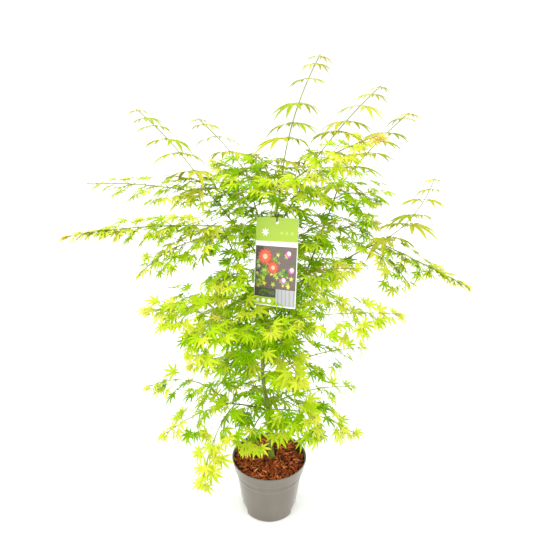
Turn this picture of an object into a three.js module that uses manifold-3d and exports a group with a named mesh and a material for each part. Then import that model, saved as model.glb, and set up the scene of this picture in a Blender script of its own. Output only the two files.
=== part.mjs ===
// A young Japanese maple in a round nursery pot, with a hanging plant label.
// Millimetres, +Z up. The origin is the middle of the pot's flat underside,
// +X is to the right and the front of the plant faces -Y.

import * as THREE from "three";
import { mergeVertices } from "three/addons/utils/BufferGeometryUtils.js";
import Module from "manifold-3d";

const wasm = await Module();
wasm.setup();

// Clearance between neighbouring pieces
const SEAT_GAP = 0.3;
const CUT_GAP = 0.4;
const MIX_GAP = 0.7;
const LEAF_GAP = 1.0;
const SHORT_GAP_SHARE = 0.999;
const FUSE_TOLERANCE = 0.12;
const MERGE_DISTANCE = 1e-4;

// Pot: a plastic nursery pot with a wide collar and three slanting drain notches round its foot
const POT_HEIGHT = 149;
const POT_RIM_RADIUS = 95;
const POT_COLLAR_FOOT_RADIUS = 89.5;
const POT_COLLAR_HEIGHT = 29;
const POT_NECK_RADIUS = 84.5;
const POT_BASE_RADIUS = 69;
const POT_WALL = 2.4;
const POT_FLOOR = 3;
const POT_FOOT_RADIUS = 57;
const POT_FOOT_HEIGHT = 26;
const POT_RIDGE_HEIGHT = 104;
const POT_RIDGE_DEPTH = 0.8;
const POT_EDGE = 1.2;
const POT_SIDES = 32;
const NOTCH_BEARINGS = [-20, 90, 200];
const NOTCH_WIDTH = 40;
const NOTCH_HEIGHT = 24;
const NOTCH_FOOT_RADIUS = 58;
const NOTCH_TOP_RADIUS = 72;
const NOTCH_REACH = 24;

// Bark mulch over the potting mix, with its top nearly level with the rim
const MIX_EDGE_HEIGHT = 139;
const MIX_CROWN_HEIGHT = 144;
const MIX_LUMP = 1.8;
const MIX_RINGS = 4;
const MIX_LEVEL_RINGS = 1.5;
const MIX_SIDES = 22;

// Trunk: hand-placed centreline, then its radius at a few heights with root flare and graft knob
const TRUNK_ROUTE = [
  [6, 1, 120],
  [5, 0, 145],
  [-2, -5, 276],
  [-15, -12, 376],
  [-16, -22, 474],
  [-4, -42, 618],
  [14, -62, 794],
  [22, -64, 844],
];
const TRUNK_GIRTH = [
  [120, 11.5],
  [146, 9.8],
  [158, 7.6],
  [180, 6.8],
  [236, 6.2],
  [254, 8.4],
  [270, 8.2],
  [290, 5.3],
  [376, 4.3],
  [474, 3.6],
  [618, 2.8],
  [794, 2.0],
  [844, 1.6],
];
const TRUNK_STEPS = 32;
const TRUNK_SIDES = 8;

// Boughs: the height at which each leaves the trunk, its bearing in degrees from +X towards +Y,
// its rise above the horizontal at both ends, its length, and its radius at both ends
const BOUGHS = [
  { name: "low_left", at: 283, bearing: 188, rise: [26, 6], length: 110, radius: [2.4, 1.3] },
  { name: "back_left_low", at: 388, bearing: 128, rise: [40, 20], length: 205, radius: [2.4, 1.3] },
  { name: "right_upper", at: 400, bearing: 350, rise: [67, 73], length: 468, radius: [2.6, 1.2] },
  { name: "back_right", at: 418, bearing: 46, rise: [50, 32], length: 250, radius: [2.4, 1.3] },
  { name: "front_right", at: 461, bearing: 304, rise: [51, 31], length: 209, radius: [2.2, 1.2] },
  { name: "front_left", at: 476, bearing: 238, rise: [49, 29], length: 197, radius: [2.2, 1.2] },
  { name: "right", at: 501, bearing: 10, rise: [54, 20], length: 357, radius: [2.3, 1.2] },
  { name: "back", at: 522, bearing: 86, rise: [50, 42], length: 285, radius: [2.2, 1.2] },
  { name: "left", at: 545, bearing: 185, rise: [65, 69], length: 233, radius: [2.2, 1.3] },
  { name: "left_upper", at: 661, bearing: 156, rise: [50, 46], length: 219, radius: [1.9, 1.2] },
  { name: "back_left", at: 702, bearing: 117, rise: [44, 59], length: 203, radius: [1.7, 1.1] },
  { name: "crown_right", at: 746, bearing: 22, rise: [56, 60], length: 187, radius: [1.6, 1.1] },
];
const BOUGH_SIDES = 5;
const BOUGH_STEP = 42;

// Masses of foliage: the limb that each grows on, at a height of the trunk or a share of a
// bough's length, the bearing, rise and length of its stem with the last leaf, and how far from
// the stem it may spread
const MASSES = [
  ["leader", "trunk", 844, 17, [86, 60], 278, 70],
  ["shoot_right", "crown_right", 1, 16, [52, 40], 202, 70],
  ["shoot_near", "trunk", 836, 322, [42, 18], 272, 90],
  ["shoot_far_right", "right_upper", 1, 7, [54, 40], 216, 70],
  ["crown_right", "right_upper", 0.95, 318, [40, -28], 130, 95],
  ["crown_left", "trunk", 812, 183, [52, 18], 180, 90],
  ["crown_middle", "trunk", 804, 110, [62, 8], 205, 95],
  ["right_rising", "right", 1, 13, [28, 74], 188, 70],
  ["right_drooping", "right", 0.96, 355, [-25, -27], 260, 46],
  ["right_low", "right", 0.88, 340, [-20, -56], 150, 72],
  ["right_centre", "right_upper", 0.78, 350, [24, 4], 139, 80],
  ["left_long", "left", 1, 192, [6, -8], 346, 60],
  ["left_hanging", "left", 0.9, 197, [5, -44], 230, 85],
  ["upper_middle", "trunk", 690, 344, [50, 20], 184, 95],
  ["shoot_left", "left_upper", 1, 166, [57, 38], 244, 70],
  ["left_high", "left_upper", 0.95, 179, [14, -2], 285, 66],
  ["shoot_back_left", "back_left", 1, 160, [52, 38], 172, 70],
  ["front_left", "front_left", 1, 183, [15, -2], 176, 80],
  ["front_left_low", "front_left", 0.85, 211, [-9, -49], 138, 80],
  ["front_right", "front_right", 1, 8, [5, -8], 225, 66],
  ["front_right_high", "trunk", 600, 330, [46, 6], 254, 72],
  ["front_middle", "trunk", 505, 275, [51, 1], 218, 115],
  ["low_left_high", "low_left", 1, 192, [65, -21], 236, 72],
  ["low_left", "low_left", 0.88, 211, [9, -24], 200, 72],
  ["low_left_front", "low_left", 0.76, 250, [16, -62], 250, 68],
  ["low_right_back", "trunk", 297, 15, [23, -12], 250, 70],
  ["low_right", "trunk", 285, 346, [15, -30], 245, 82],
  ["low_right_front", "trunk", 318, 310, [30, -8], 195, 62],
  ["front_yellow", "trunk", 440, 300, [50, -36], 205, 78],
  ["front_base", "trunk", 290, 236, [0, -59], 145, 75],
  ["right_middle", "trunk", 378, 12, [30, -4], 282, 80],
  ["left_middle", "trunk", 540, 222, [52, 18], 181, 90],
  ["back_high", "back", 1, 73, [49, 29], 165, 105],
  ["back_reach", "back", 0.9, 150, [7, -32], 165, 105],
  ["back_left_top", "back_left", 0.5, 166, [38, 4], 246, 90],
  ["back_right_high", "back_right", 1, 70, [45, 10], 150, 105],
  ["back_right", "back_right", 0.86, 50, [-10, -50], 140, 100],
  ["back_left", "back_left_low", 1, 146, [22, -14], 190, 105],
  ["back_middle", "back_left_low", 0.84, 98, [4, -34], 180, 100],
  ["low_back", "trunk", 318, 93, [7, -32], 227, 95],
  ["low_back_left", "trunk", 332, 123, [0, -39], 218, 95],
  ["left_inner", "left", 0.5, 237, [22, -17], 118, 85],
  ["left_lower", "trunk", 430, 206, [29, -11], 205, 82],
].map(([name, on, at, bearing, rise, length, spread]) => (
  { name, on, at, bearing, rise, length, spread }
));

// Growth rule: opposite pairs along each stem, side twigs near its foot and leaves beyond them.
// A stem whose mean rise is steeper than SHOOT_RISE is a shoot: it bears nearly level leaf pairs
// only, each turned from the pair below and larger towards the foot.
const FIRST_SEED = 1501;
const SEED_STEP = 37;
const NODE_STEP = 88;
const SHOOT_RISE = 36;
const SHOOT_NODE_STEP = 62;
const SHOOT_PAIR_BEARINGS = [28, -28];
const SHOOT_LEAF_LIFT = 0.1;
const SHOOT_FOOT_LEAF = 1.25;
const SHOOT_BARE_TIP = 8;
const NODE_JITTER = 0.22;
const TWIG_ZONE = 0.62;
const TWIG_ANGLE = 50;
const TWIG_ANGLE_JITTER = 9;
const TWIG_TAPER = 0.55;
const TWIG_SHORTEST = 26;
const TWIG_ROOM_FOR_LEAF = 0.5;
const TWIG_SAG = 16;
const TWIG_LENGTH_JITTER = 0.15;
const TWIG_PAIR_LENGTH = 82;
const TWIG_PAIR_TWIST = 70;
const TWIG_END_SHARE = 0.97;
const STEM_END_SHARE = 0.985;
const TWIG_RADIUS = 1.1;
const TWIG_TIP_RADIUS = 0.8;
const TWIG_SIDES = 3;
const STEM_STEP = 70;
const STEM_RADIUS = 1.3;
const ROLL_STEP = 62;
const ROLL_JITTER = 18;
const LEAF_ANGLE = 52;
const LEAF_ANGLE_JITTER = 10;
const END_LEAF_ANGLE = 34;
const LEAF_SAG_JITTER = 0.5;
const FLAT_JITTER = 0.28;
const OTHER_SPACE_MARGIN = 12;
const MIDDLE_OF_BLADE = 0.3;

// How leaves lie at three heights: how much of a twig's rise they keep, how far they sag, and
// how far their faces tilt outwards
const LEAF_HEIGHTS = [420, 680, 920];
const LEAF_LEVELLINGS = [0.9, 0.6, 0.35];
const LEAF_SAGS = [0.4, 0.24, 0.2];
const LEAF_TILTS = [1.1, 0.7, 0.35];

// Leaf: five pointed lobes about a centre, narrowing behind them to a thin flat stalk. Half of its
// edge is given as the bearing and the share of its reach of each lobe's tip and each notch.
const LEAF_STALK = 19;
const LEAF_REACH = 58;
const LEAF_TIP_SHRINK = 0.42;
const LEAF_SIZE_JITTER = 0.12;
const LEAF_HALF_THICKNESS = 0.7;
const LEAF_DROOP = 0.2;
const LEAF_ROOT_DEPTH = 0.2;
const LEAF_HALF_EDGE = [[0, 1], [22, 0.34], [46, 0.92], [69, 0.3], [94, 0.66], [146, 0.08]];

// Label card: it hangs by a short loop from the trunk, with its right edge turned forwards
const LABEL_WIDTH = 100;
const LABEL_HEIGHT = 185;
const LABEL_THICKNESS = 0.8;
const LABEL_CORNER = 3;
const LABEL_CENTRE = new THREE.Vector3(12, -92, 695);
const LABEL_YAW = 31;
const LABEL_LEAN = 12;
const LABEL_ROLL = 4.7;
const LABEL_HOLE_RADIUS = 3.6;
const LABEL_HOLE_SIDES = 10;
const LABEL_HOLE_DROP = 9;
const LABEL_LEAF_CLEARANCE = 6;
const LOOP_RADIUS = 0.9;
const LOOP_TRUNK_HEIGHT = 794;
const LOOP_SLACK = 0.65;
const LOOP_CLEARANCE = 0.5;
const LOOP_BEARINGS = [-15, 38, 90, 142, 195];
const LOOP_FALL = 1.2;
const LOOP_STEPS = 26;
const LOOP_SIDES = 5;

// The label is seen from here, and the foliage leaves that view of it open
const VIEWER = new THREE.Vector3(-7, -1118, 1016);

// Finishes
const FINISHES = {
  pot: { color: 0x9f998d, roughness: 0.45 },
  potting_mix: { color: 0x6b3a24, roughness: 0.95 },
  trunk: { color: 0x5f6b35, roughness: 0.7 },
  bough: { color: 0x75702f, roughness: 0.7 },
  mass: { color: 0x9acb1c, roughness: 0.55 },
  label: { color: 0x7fa83a, roughness: 0.4 },
  loop: { color: 0x1c1c1c, roughness: 0.6 },
};

const UP = new THREE.Vector3(0, 0, 1);
const { degToRad, radToDeg, lerp, clamp } = THREE.MathUtils;

// Closed solids

// A three.js geometry as a solid, with its shared corners merged
function solidOf(geometry) {
  const plain = geometry.clone();
  plain.deleteAttribute("normal");
  plain.deleteAttribute("uv");
  const merged = mergeVertices(plain, MERGE_DISTANCE);
  return new wasm.Manifold(new wasm.Mesh({
    numProp: 3,
    vertProperties: new Float32Array(merged.attributes.position.array),
    triVerts: new Uint32Array(merged.index.array),
  }));
}

// A solid as a three.js geometry
function geometryOf(solid) {
  const mesh = solid.getMesh();
  const geometry = new THREE.BufferGeometry();
  geometry.setAttribute("position", new THREE.BufferAttribute(mesh.vertProperties, 3));
  geometry.setIndex(new THREE.BufferAttribute(mesh.triVerts, 1));
  geometry.computeVertexNormals();
  return geometry;
}

// The largest body of a solid: scraps and sealed hollows are dropped
function largestBody(solid) {
  return solid.decompose().reduce((best, body) => (body.volume() > best.volume() ? body : best));
}

// A solid with its box, for quick tests of what is near it
function boxed(solid) {
  const { min, max } = solid.boundingBox();
  return { solid, box: new THREE.Box3(new THREE.Vector3(...min), new THREE.Vector3(...max)) };
}

// True if a piece comes nearer than the gap to any of the others
function touchesAny(piece, others, gap) {
  const reach = piece.box.clone().expandByScalar(gap);
  return others.some((other) => (
    reach.intersectsBox(other.box)
      && piece.solid.minGap(other.solid, gap) < gap * SHORT_GAP_SHARE
  ));
}

// Paths and tubes

// A path that starts at a point, keeps its bearing and bends evenly from one rise to another
function limbPath(start, bearing, rise, length, stepLength) {
  const steps = Math.max(2, Math.round(length / stepLength));
  const turn = degToRad(bearing);
  const path = [start.clone()];
  for (let i = 0; i < steps; i++) {
    const lift = degToRad(lerp(rise[0], rise[1], (i + 0.5) / steps));
    const ahead = new THREE.Vector3(
      Math.cos(lift) * Math.cos(turn),
      Math.cos(lift) * Math.sin(turn),
      Math.sin(lift),
    );
    path.push(path[i].clone().addScaledVector(ahead, length / steps));
  }
  return path;
}

// The point and the direction at a share of a path's length
function onPath(path, share) {
  const place = clamp(share, 0, 1) * (path.length - 1);
  const i = Math.min(Math.floor(place), path.length - 2);
  return {
    point: path[i].clone().lerp(path[i + 1], place - i),
    ahead: path[i + 1].clone().sub(path[i]).normalize(),
  };
}

// The direction at each point of a path, and a sideways direction carried along it
function framesAlong(path) {
  const last = path.length - 1;
  const frames = [];
  let side = null;
  path.forEach((point, i) => {
    const ahead = path[Math.min(i + 1, last)].clone().sub(path[Math.max(i - 1, 0)]).normalize();
    if (!side) {
      side = Math.abs(ahead.z) < 0.9 ? UP.clone() : new THREE.Vector3(0, 1, 0);
    }
    side = side.clone().addScaledVector(ahead, -side.dot(ahead)).normalize();
    frames.push({ point, ahead, side, cross: ahead.clone().cross(side).negate() });
  });
  return frames;
}

// A round tube along a path; radiusAt gives its radius at each point's index
function tubeAlong(path, radiusAt, sides) {
  const steps = path.length - 1;
  const frames = framesAlong(path);
  const shape = new THREE.CylinderGeometry(1, 1, 1, sides, steps);
  const position = shape.attributes.position;
  for (let i = 0; i < position.count; i++) {
    const row = Math.round((position.getY(i) + 0.5) * steps);
    const { point, side, cross } = frames[row];
    const around = new THREE.Vector2(position.getX(i), position.getZ(i));
    const isCentre = around.length() < 1e-9;
    if (!isCentre) {
      around.setLength(radiusAt(row));
    }
    const moved = point.clone().addScaledVector(side, around.x).addScaledVector(cross, around.y);
    position.setXYZ(i, moved.x, moved.y, moved.z);
  }
  return shape;
}

// A path carried on at both ends, so that a cut along it is clean
function lengthened(path, before, after) {
  const longer = path.map((point) => point.clone());
  const last = longer.length - 1;
  const back = longer[0].clone().sub(longer[1]).normalize();
  const onward = longer[last].clone().sub(longer[last - 1]).normalize();
  longer[0].addScaledVector(back, before);
  longer[last].addScaledVector(onward, after);
  return longer;
}

// Trunk and boughs

function trunkRadius(height) {
  const next = TRUNK_GIRTH.findIndex(([level]) => level >= height);
  if (next <= 0) {
    return TRUNK_GIRTH[next < 0 ? TRUNK_GIRTH.length - 1 : 0][1];
  }
  const [low, lowRadius] = TRUNK_GIRTH[next - 1];
  const [high, highRadius] = TRUNK_GIRTH[next];
  return lerp(lowRadius, highRadius, (height - low) / (high - low));
}

const limbs = new Map();

function makeTrunk() {
  const route = TRUNK_ROUTE.map((place) => new THREE.Vector3(...place));
  const path = new THREE.CatmullRomCurve3(route, false, "centripetal").getSpacedPoints(TRUNK_STEPS);
  const whole = solidOf(tubeAlong(path, (row) => trunkRadius(path[row].z), TRUNK_SIDES));
  const solid = whole.trimByPlane([0, 0, 1], MIX_CROWN_HEIGHT + SEAT_GAP);
  const fat = tubeAlong(
    lengthened(path, 0, SEAT_GAP),
    (row) => trunkRadius(path[row].z) + CUT_GAP,
    TRUNK_SIDES,
  );
  const tipRadius = trunkRadius(path.at(-1).z);
  limbs.set("trunk", { path, solid, clearance: solidOf(fat), tipRadius });
}

// The point of a rising path at a height
function atHeight(path, height) {
  const above = path.findIndex((point) => point.z >= height);
  const low = path[above - 1];
  const high = path[above];
  return low.clone().lerp(high, (height - low.z) / (high.z - low.z));
}

function makeBough(row) {
  const trunk = limbs.get("trunk");
  const start = atHeight(trunk.path, row.at);
  const path = limbPath(start, row.bearing, row.rise, row.length, BOUGH_STEP);
  const last = path.length - 1;
  const radiusAt = (i) => lerp(row.radius[0], row.radius[1], i / last);
  const whole = solidOf(tubeAlong(path, radiusAt, BOUGH_SIDES));
  const solid = largestBody(whole.subtract(trunk.clearance));
  const fat = tubeAlong(
    lengthened(path, 0, SEAT_GAP),
    (i) => (radiusAt(i) + SEAT_GAP) / Math.cos(Math.PI / BOUGH_SIDES),
    BOUGH_SIDES,
  );
  limbs.set(row.name, { path, solid, clearance: solidOf(fat), tipRadius: row.radius[1] });
}

// Leaves

// The outline of a leaf in its own plane, anticlockwise, ending at the stalk's root, which is the
// origin. The middle lobe points along +X, and the edge falls away from the leaf's centre.
function leafOutline(reach) {
  const right = LEAF_HALF_EDGE.slice(1).reverse().map(([turn, share]) => [-turn, share]);
  const edge = [...right, ...LEAF_HALF_EDGE].map(([turn, share]) => new THREE.Vector3(
    LEAF_STALK + share * reach * Math.cos(degToRad(turn)),
    share * reach * Math.sin(degToRad(turn)),
    -LEAF_DROOP * reach * share * share,
  ));
  return [...edge, new THREE.Vector3()];
}

// A leaf as a thin double pyramid over its outline: whole, or only its blade
function leafGeometry(reach, withStalk) {
  const edge = leafOutline(reach);
  if (!withStalk) {
    edge.pop();
  }
  const count = edge.length;
  const corners = [...edge];
  corners.push(new THREE.Vector3(LEAF_STALK, 0, LEAF_HALF_THICKNESS));
  corners.push(new THREE.Vector3(LEAF_STALK, 0, -LEAF_HALF_THICKNESS));
  const faces = [];
  for (let i = 0; i < count; i++) {
    const next = (i + 1) % count;
    faces.push(i, next, count);
    faces.push(next, i, count + 1);
  }
  const geometry = new THREE.BufferGeometry();
  geometry.setAttribute("position", new THREE.Float32BufferAttribute(
    corners.flatMap((corner) => corner.toArray()), 3));
  geometry.setIndex(faces);
  return geometry;
}

// The placing of a leaf: its stalk leaves the root along a direction, its face looks up and out
function leafMatrix(root, ahead, face) {
  const up = face.clone().addScaledVector(ahead, -face.dot(ahead)).normalize();
  const side = up.clone().cross(ahead);
  return new THREE.Matrix4().makeBasis(ahead, side, up).setPosition(root);
}

// Growth

// Seeded numbers from 0 to 1
function seededRandom(seed) {
  let state = seed;
  return () => {
    state = (state * 16807) % 2147483647;
    return state / 2147483647;
  };
}

// The direction that lies level across a limb, rolled about it
function acrossLimb(ahead, roll) {
  const level = UP.clone().cross(ahead);
  if (level.lengthSq() < 1e-4) {
    level.set(1, 0, 0);
  }
  return level.normalize().applyAxisAngle(ahead, degToRad(roll));
}

function branchOff(ahead, across, degrees) {
  const turn = degToRad(degrees);
  return ahead.clone().multiplyScalar(Math.cos(turn)).addScaledVector(across, Math.sin(turn));
}

// An amount that changes evenly between the three heights at which it is given
function byHeight(height, [atLow, atMiddle, atHigh]) {
  const [low, middle, high] = LEAF_HEIGHTS;
  const below = lerp(atLow, atMiddle, clamp((height - low) / (middle - low), 0, 1));
  return lerp(below, atHigh, clamp((height - middle) / (high - middle), 0, 1));
}

// One mass: a stem, side twigs in opposite pairs, and leaves in opposite pairs on both
function growMass(row, seed) {
  const random = seededRandom(seed);
  const spreadOf = () => random() * 2 - 1;
  const isShoot = (row.rise[0] + row.rise[1]) / 2 > SHOOT_RISE;
  const bareTip = isShoot ? SHOOT_BARE_TIP : LEAF_STALK + LEAF_REACH * (1 - LEAF_TIP_SHRINK);
  const { path: limb } = limbs.get(row.on);
  const start = row.on === "trunk" ? atHeight(limb, row.at) : onPath(limb, row.at).point;
  const stem = limbPath(start, row.bearing, row.rise, row.length - bareTip, STEM_STEP);
  const twigs = [];
  const leaves = [];
  const addLeaf = (twig, point, heading, share, size = 1) => {
    const direction = heading.clone();
    const sag = byHeight(point.z, LEAF_SAGS) * (1 + LEAF_SAG_JITTER * spreadOf());
    if (share < 1) {
      direction.z = direction.z * byHeight(point.z, LEAF_LEVELLINGS) - sag;
    }
    const outward = new THREE.Vector3(point.x, point.y, 0).normalize();
    const face = UP.clone().addScaledVector(outward, byHeight(point.z, LEAF_TILTS));
    face.x += FLAT_JITTER * spreadOf();
    face.y += FLAT_JITTER * spreadOf();
    const grown = size * (1 - LEAF_TIP_SHRINK * share);
    const reach = LEAF_REACH * grown * (1 + LEAF_SIZE_JITTER * spreadOf());
    direction.normalize();
    const root = point.clone().addScaledVector(direction, -LEAF_ROOT_DEPTH);
    leaves.push({ twig, reach, matrix: leafMatrix(root, direction, face) });
  };
  const addPair = (twig, point, ahead, roll, degrees, share) => {
    const across = acrossLimb(ahead, roll);
    for (const hand of [1, -1]) {
      const turned = hand * (degrees + LEAF_ANGLE_JITTER * spreadOf());
      addLeaf(twig, point, branchOff(ahead, across, turned), share);
    }
  };
  const addLevelPair = (point, bearing, share) => {
    for (const opposite of [0, 180]) {
      const turn = degToRad(bearing + opposite + ROLL_JITTER * spreadOf());
      const heading = new THREE.Vector3(Math.cos(turn), Math.sin(turn), SHOOT_LEAF_LIFT);
      addLeaf(null, point, heading, share, lerp(SHOOT_FOOT_LEAF, 1, share));
    }
  };
  const addTwig = (point, ahead, roll, hand, room, share) => {
    const length = room * (1 + TWIG_LENGTH_JITTER * spreadOf());
    const turned = hand * (TWIG_ANGLE + TWIG_ANGLE_JITTER * spreadOf());
    const heading = branchOff(ahead, acrossLimb(ahead, roll), turned);
    const bearing = radToDeg(Math.atan2(heading.y, heading.x));
    const lift = radToDeg(Math.asin(clamp(heading.z, -1, 1)));
    const path = limbPath(point, bearing, [lift, lift - TWIG_SAG], length, length / 2);
    const twig = { path };
    twigs.push(twig);
    const end = onPath(path, TWIG_END_SHARE);
    addPair(twig, end.point, end.ahead, ROLL_JITTER * spreadOf(), END_LEAF_ANGLE, share);
    if (length > TWIG_PAIR_LENGTH) {
      const middle = onPath(path, 0.5);
      addPair(twig, middle.point, middle.ahead, TWIG_PAIR_TWIST * spreadOf(), LEAF_ANGLE, share);
    }
  };
  const tip = onPath(stem, STEM_END_SHARE);
  if (isShoot) {
    tip.ahead.z = SHOOT_LEAF_LIFT;
  }
  addLeaf(null, tip.point, tip.ahead, 1);
  const nodes = Math.max(2, Math.round(row.length / (isShoot ? SHOOT_NODE_STEP : NODE_STEP)));
  for (let i = 0; i < nodes; i++) {
    const share = (i + 0.5 + NODE_JITTER * spreadOf()) / nodes;
    const { point, ahead } = onPath(stem, share);
    const roll = (i % 2) * ROLL_STEP + ROLL_JITTER * spreadOf();
    const free = row.spread - TWIG_ROOM_FOR_LEAF * LEAF_REACH;
    const room = free * (1 - TWIG_TAPER * share);
    if (isShoot) {
      addLevelPair(point, SHOOT_PAIR_BEARINGS[i % 2], share);
    } else if (share < TWIG_ZONE && room > TWIG_SHORTEST) {
      addTwig(point, ahead, roll, 1, room, share);
      addTwig(point, ahead, roll, -1, room, share);
    } else {
      addPair(null, point, ahead, roll, LEAF_ANGLE, share);
    }
  }
  return { stem, twigs, leaves };
}

// Label and loop

const labelTurn = new THREE.Euler(
  degToRad(-LABEL_LEAN), degToRad(-LABEL_ROLL), degToRad(-LABEL_YAW), "ZXY");

function labelPlace(across, up, forward) {
  return new THREE.Vector3(across, -forward, up).applyEuler(labelTurn).add(LABEL_CENTRE);
}

function labelGeometry() {
  const right = LABEL_WIDTH / 2 - LABEL_CORNER;
  const top = LABEL_HEIGHT / 2 - LABEL_CORNER;
  const corners = [[right, top], [-right, top], [-right, -top], [right, -top]];
  const arcPoint = (x, y, radius, degrees) => new THREE.Vector2(
    x + radius * Math.cos(degToRad(degrees)), y + radius * Math.sin(degToRad(degrees)));
  const card = new THREE.Shape(corners.flatMap(([x, y], quarter) => [0, 45, 90].map(
    (degrees) => arcPoint(x, y, LABEL_CORNER, 90 * quarter + degrees))));
  const holeHeight = LABEL_HEIGHT / 2 - LABEL_HOLE_DROP;
  const holeTurns = Array.from(
    { length: LABEL_HOLE_SIDES }, (_, i) => -360 * (i + 0.5) / LABEL_HOLE_SIDES);
  card.holes.push(new THREE.Path(
    holeTurns.map((degrees) => arcPoint(0, holeHeight, LABEL_HOLE_RADIUS, degrees))));
  const sheet = new THREE.ExtrudeGeometry(card, { depth: LABEL_THICKNESS, bevelEnabled: false });
  return sheet.translate(0, 0, -LABEL_THICKNESS / 2).rotateX(Math.PI / 2);
}

// The loop goes through the hole, up the card's front, over its top edge and round the trunk
function loopGeometry() {
  const trunk = limbs.get("trunk").path;
  const middle = atHeight(trunk, LOOP_TRUNK_HEIGHT);
  const round = trunkRadius(LOOP_TRUNK_HEIGHT) + LOOP_RADIUS + SEAT_GAP + LOOP_SLACK;
  const seat = LABEL_HEIGHT / 2 - LABEL_HOLE_DROP + LABEL_HOLE_RADIUS - LOOP_RADIUS - 3 * SEAT_GAP;
  const clear = LABEL_THICKNESS / 2 + LOOP_RADIUS + LOOP_CLEARANCE;
  const overTop = LABEL_HEIGHT / 2 + LOOP_RADIUS + LOOP_CLEARANCE + SEAT_GAP;
  const behindTrunk = LOOP_BEARINGS.map((bearing, i) => new THREE.Vector3(
    round * Math.cos(degToRad(bearing)),
    round * Math.sin(degToRad(bearing)),
    -LOOP_FALL * i,
  ).add(middle));
  const curve = new THREE.CatmullRomCurve3([
    labelPlace(0, seat, 0),
    labelPlace(0, seat, clear),
    labelPlace(0, overTop - 1, clear),
    labelPlace(0.5, overTop, 0),
    ...behindTrunk,
    labelPlace(-1, seat - 0.5, -clear),
  ], true, "centripetal");
  const frames = curve.computeFrenetFrames(LOOP_STEPS, true);
  const ring = new THREE.TorusGeometry(3, 1, LOOP_SIDES, LOOP_STEPS);
  const position = ring.attributes.position;
  for (let i = 0; i < position.count; i++) {
    const step = i % (LOOP_STEPS + 1);
    const turn = 2 * Math.PI * Math.floor(i / (LOOP_STEPS + 1)) / LOOP_SIDES;
    const at = curve.getPointAt((step % LOOP_STEPS) / LOOP_STEPS);
    at.addScaledVector(frames.normals[step % LOOP_STEPS], -LOOP_RADIUS * Math.cos(turn));
    at.addScaledVector(frames.binormals[step % LOOP_STEPS], LOOP_RADIUS * Math.sin(turn));
    position.setXYZ(i, at.x, at.y, at.z);
  }
  return ring;
}

// True if a point stands between the viewer and the label
function hidesLabel(point) {
  const facing = new THREE.Vector3(0, -1, 0).applyEuler(labelTurn);
  const sight = point.clone().sub(VIEWER);
  const depth = LABEL_CENTRE.clone().sub(VIEWER).dot(facing) / sight.dot(facing);
  if (depth < 1) {
    return false;
  }
  const seen = VIEWER.clone().addScaledVector(sight, depth).sub(LABEL_CENTRE);
  const across = seen.dot(new THREE.Vector3(1, 0, 0).applyEuler(labelTurn));
  const up = seen.dot(UP.clone().applyEuler(labelTurn));
  return Math.abs(across) < LABEL_WIDTH / 2 + LABEL_LEAF_CLEARANCE
    && Math.abs(up) < LABEL_HEIGHT / 2 + LABEL_LEAF_CLEARANCE;
}

// Pot and mix

// The pot's inside, from the floor's corner up to the lip, drawn in by an amount
function potInside(inset) {
  const collarFoot = POT_HEIGHT - POT_COLLAR_HEIGHT;
  const slope = (POT_NECK_RADIUS - POT_BASE_RADIUS) / collarFoot;
  const side = (height) => POT_BASE_RADIUS + slope * height - POT_WALL - inset;
  return [
    [POT_FOOT_RADIUS - inset, POT_FLOOR + inset],
    [side(POT_FOOT_HEIGHT), POT_FOOT_HEIGHT],
    [side(collarFoot - POT_WALL), collarFoot + inset],
    [POT_COLLAR_FOOT_RADIUS - POT_WALL - inset, collarFoot + POT_WALL + inset],
    [POT_RIM_RADIUS - POT_WALL - inset, POT_HEIGHT - POT_EDGE],
  ];
}

function makePot() {
  const collarFoot = POT_HEIGHT - POT_COLLAR_HEIGHT;
  const side = (height) => lerp(POT_BASE_RADIUS, POT_NECK_RADIUS, height / collarFoot);
  const outside = [
    [0, 0],
    [POT_BASE_RADIUS - POT_EDGE, 0],
    [side(0), POT_EDGE],
    [side(POT_RIDGE_HEIGHT) - POT_RIDGE_DEPTH, POT_RIDGE_HEIGHT],
    [side(POT_RIDGE_HEIGHT), POT_RIDGE_HEIGHT + POT_EDGE],
    [POT_NECK_RADIUS, collarFoot],
    [POT_COLLAR_FOOT_RADIUS, collarFoot + POT_EDGE],
    [POT_RIM_RADIUS, POT_HEIGHT - POT_EDGE],
    [POT_RIM_RADIUS - POT_EDGE, POT_HEIGHT],
  ];
  const profile = [...outside, ...potInside(0).reverse(), [0, POT_FLOOR]];
  const corners = profile.map(([radius, height]) => new THREE.Vector2(radius, height));
  const shell = new THREE.LatheGeometry(corners, POT_SIDES);
  let solid = solidOf(shell.rotateX(Math.PI / 2));
  const slant = Math.atan((NOTCH_TOP_RADIUS - NOTCH_FOOT_RADIUS) / NOTCH_HEIGHT);
  for (const bearing of NOTCH_BEARINGS) {
    const notch = new THREE.BoxGeometry(NOTCH_REACH, NOTCH_WIDTH, 4 * NOTCH_HEIGHT);
    notch.translate(NOTCH_REACH / 2, 0, 0).rotateY(slant).translate(NOTCH_FOOT_RADIUS, 0, 0);
    solid = solid.subtract(solidOf(notch.rotateZ(degToRad(bearing))));
  }
  return solid;
}

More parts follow.
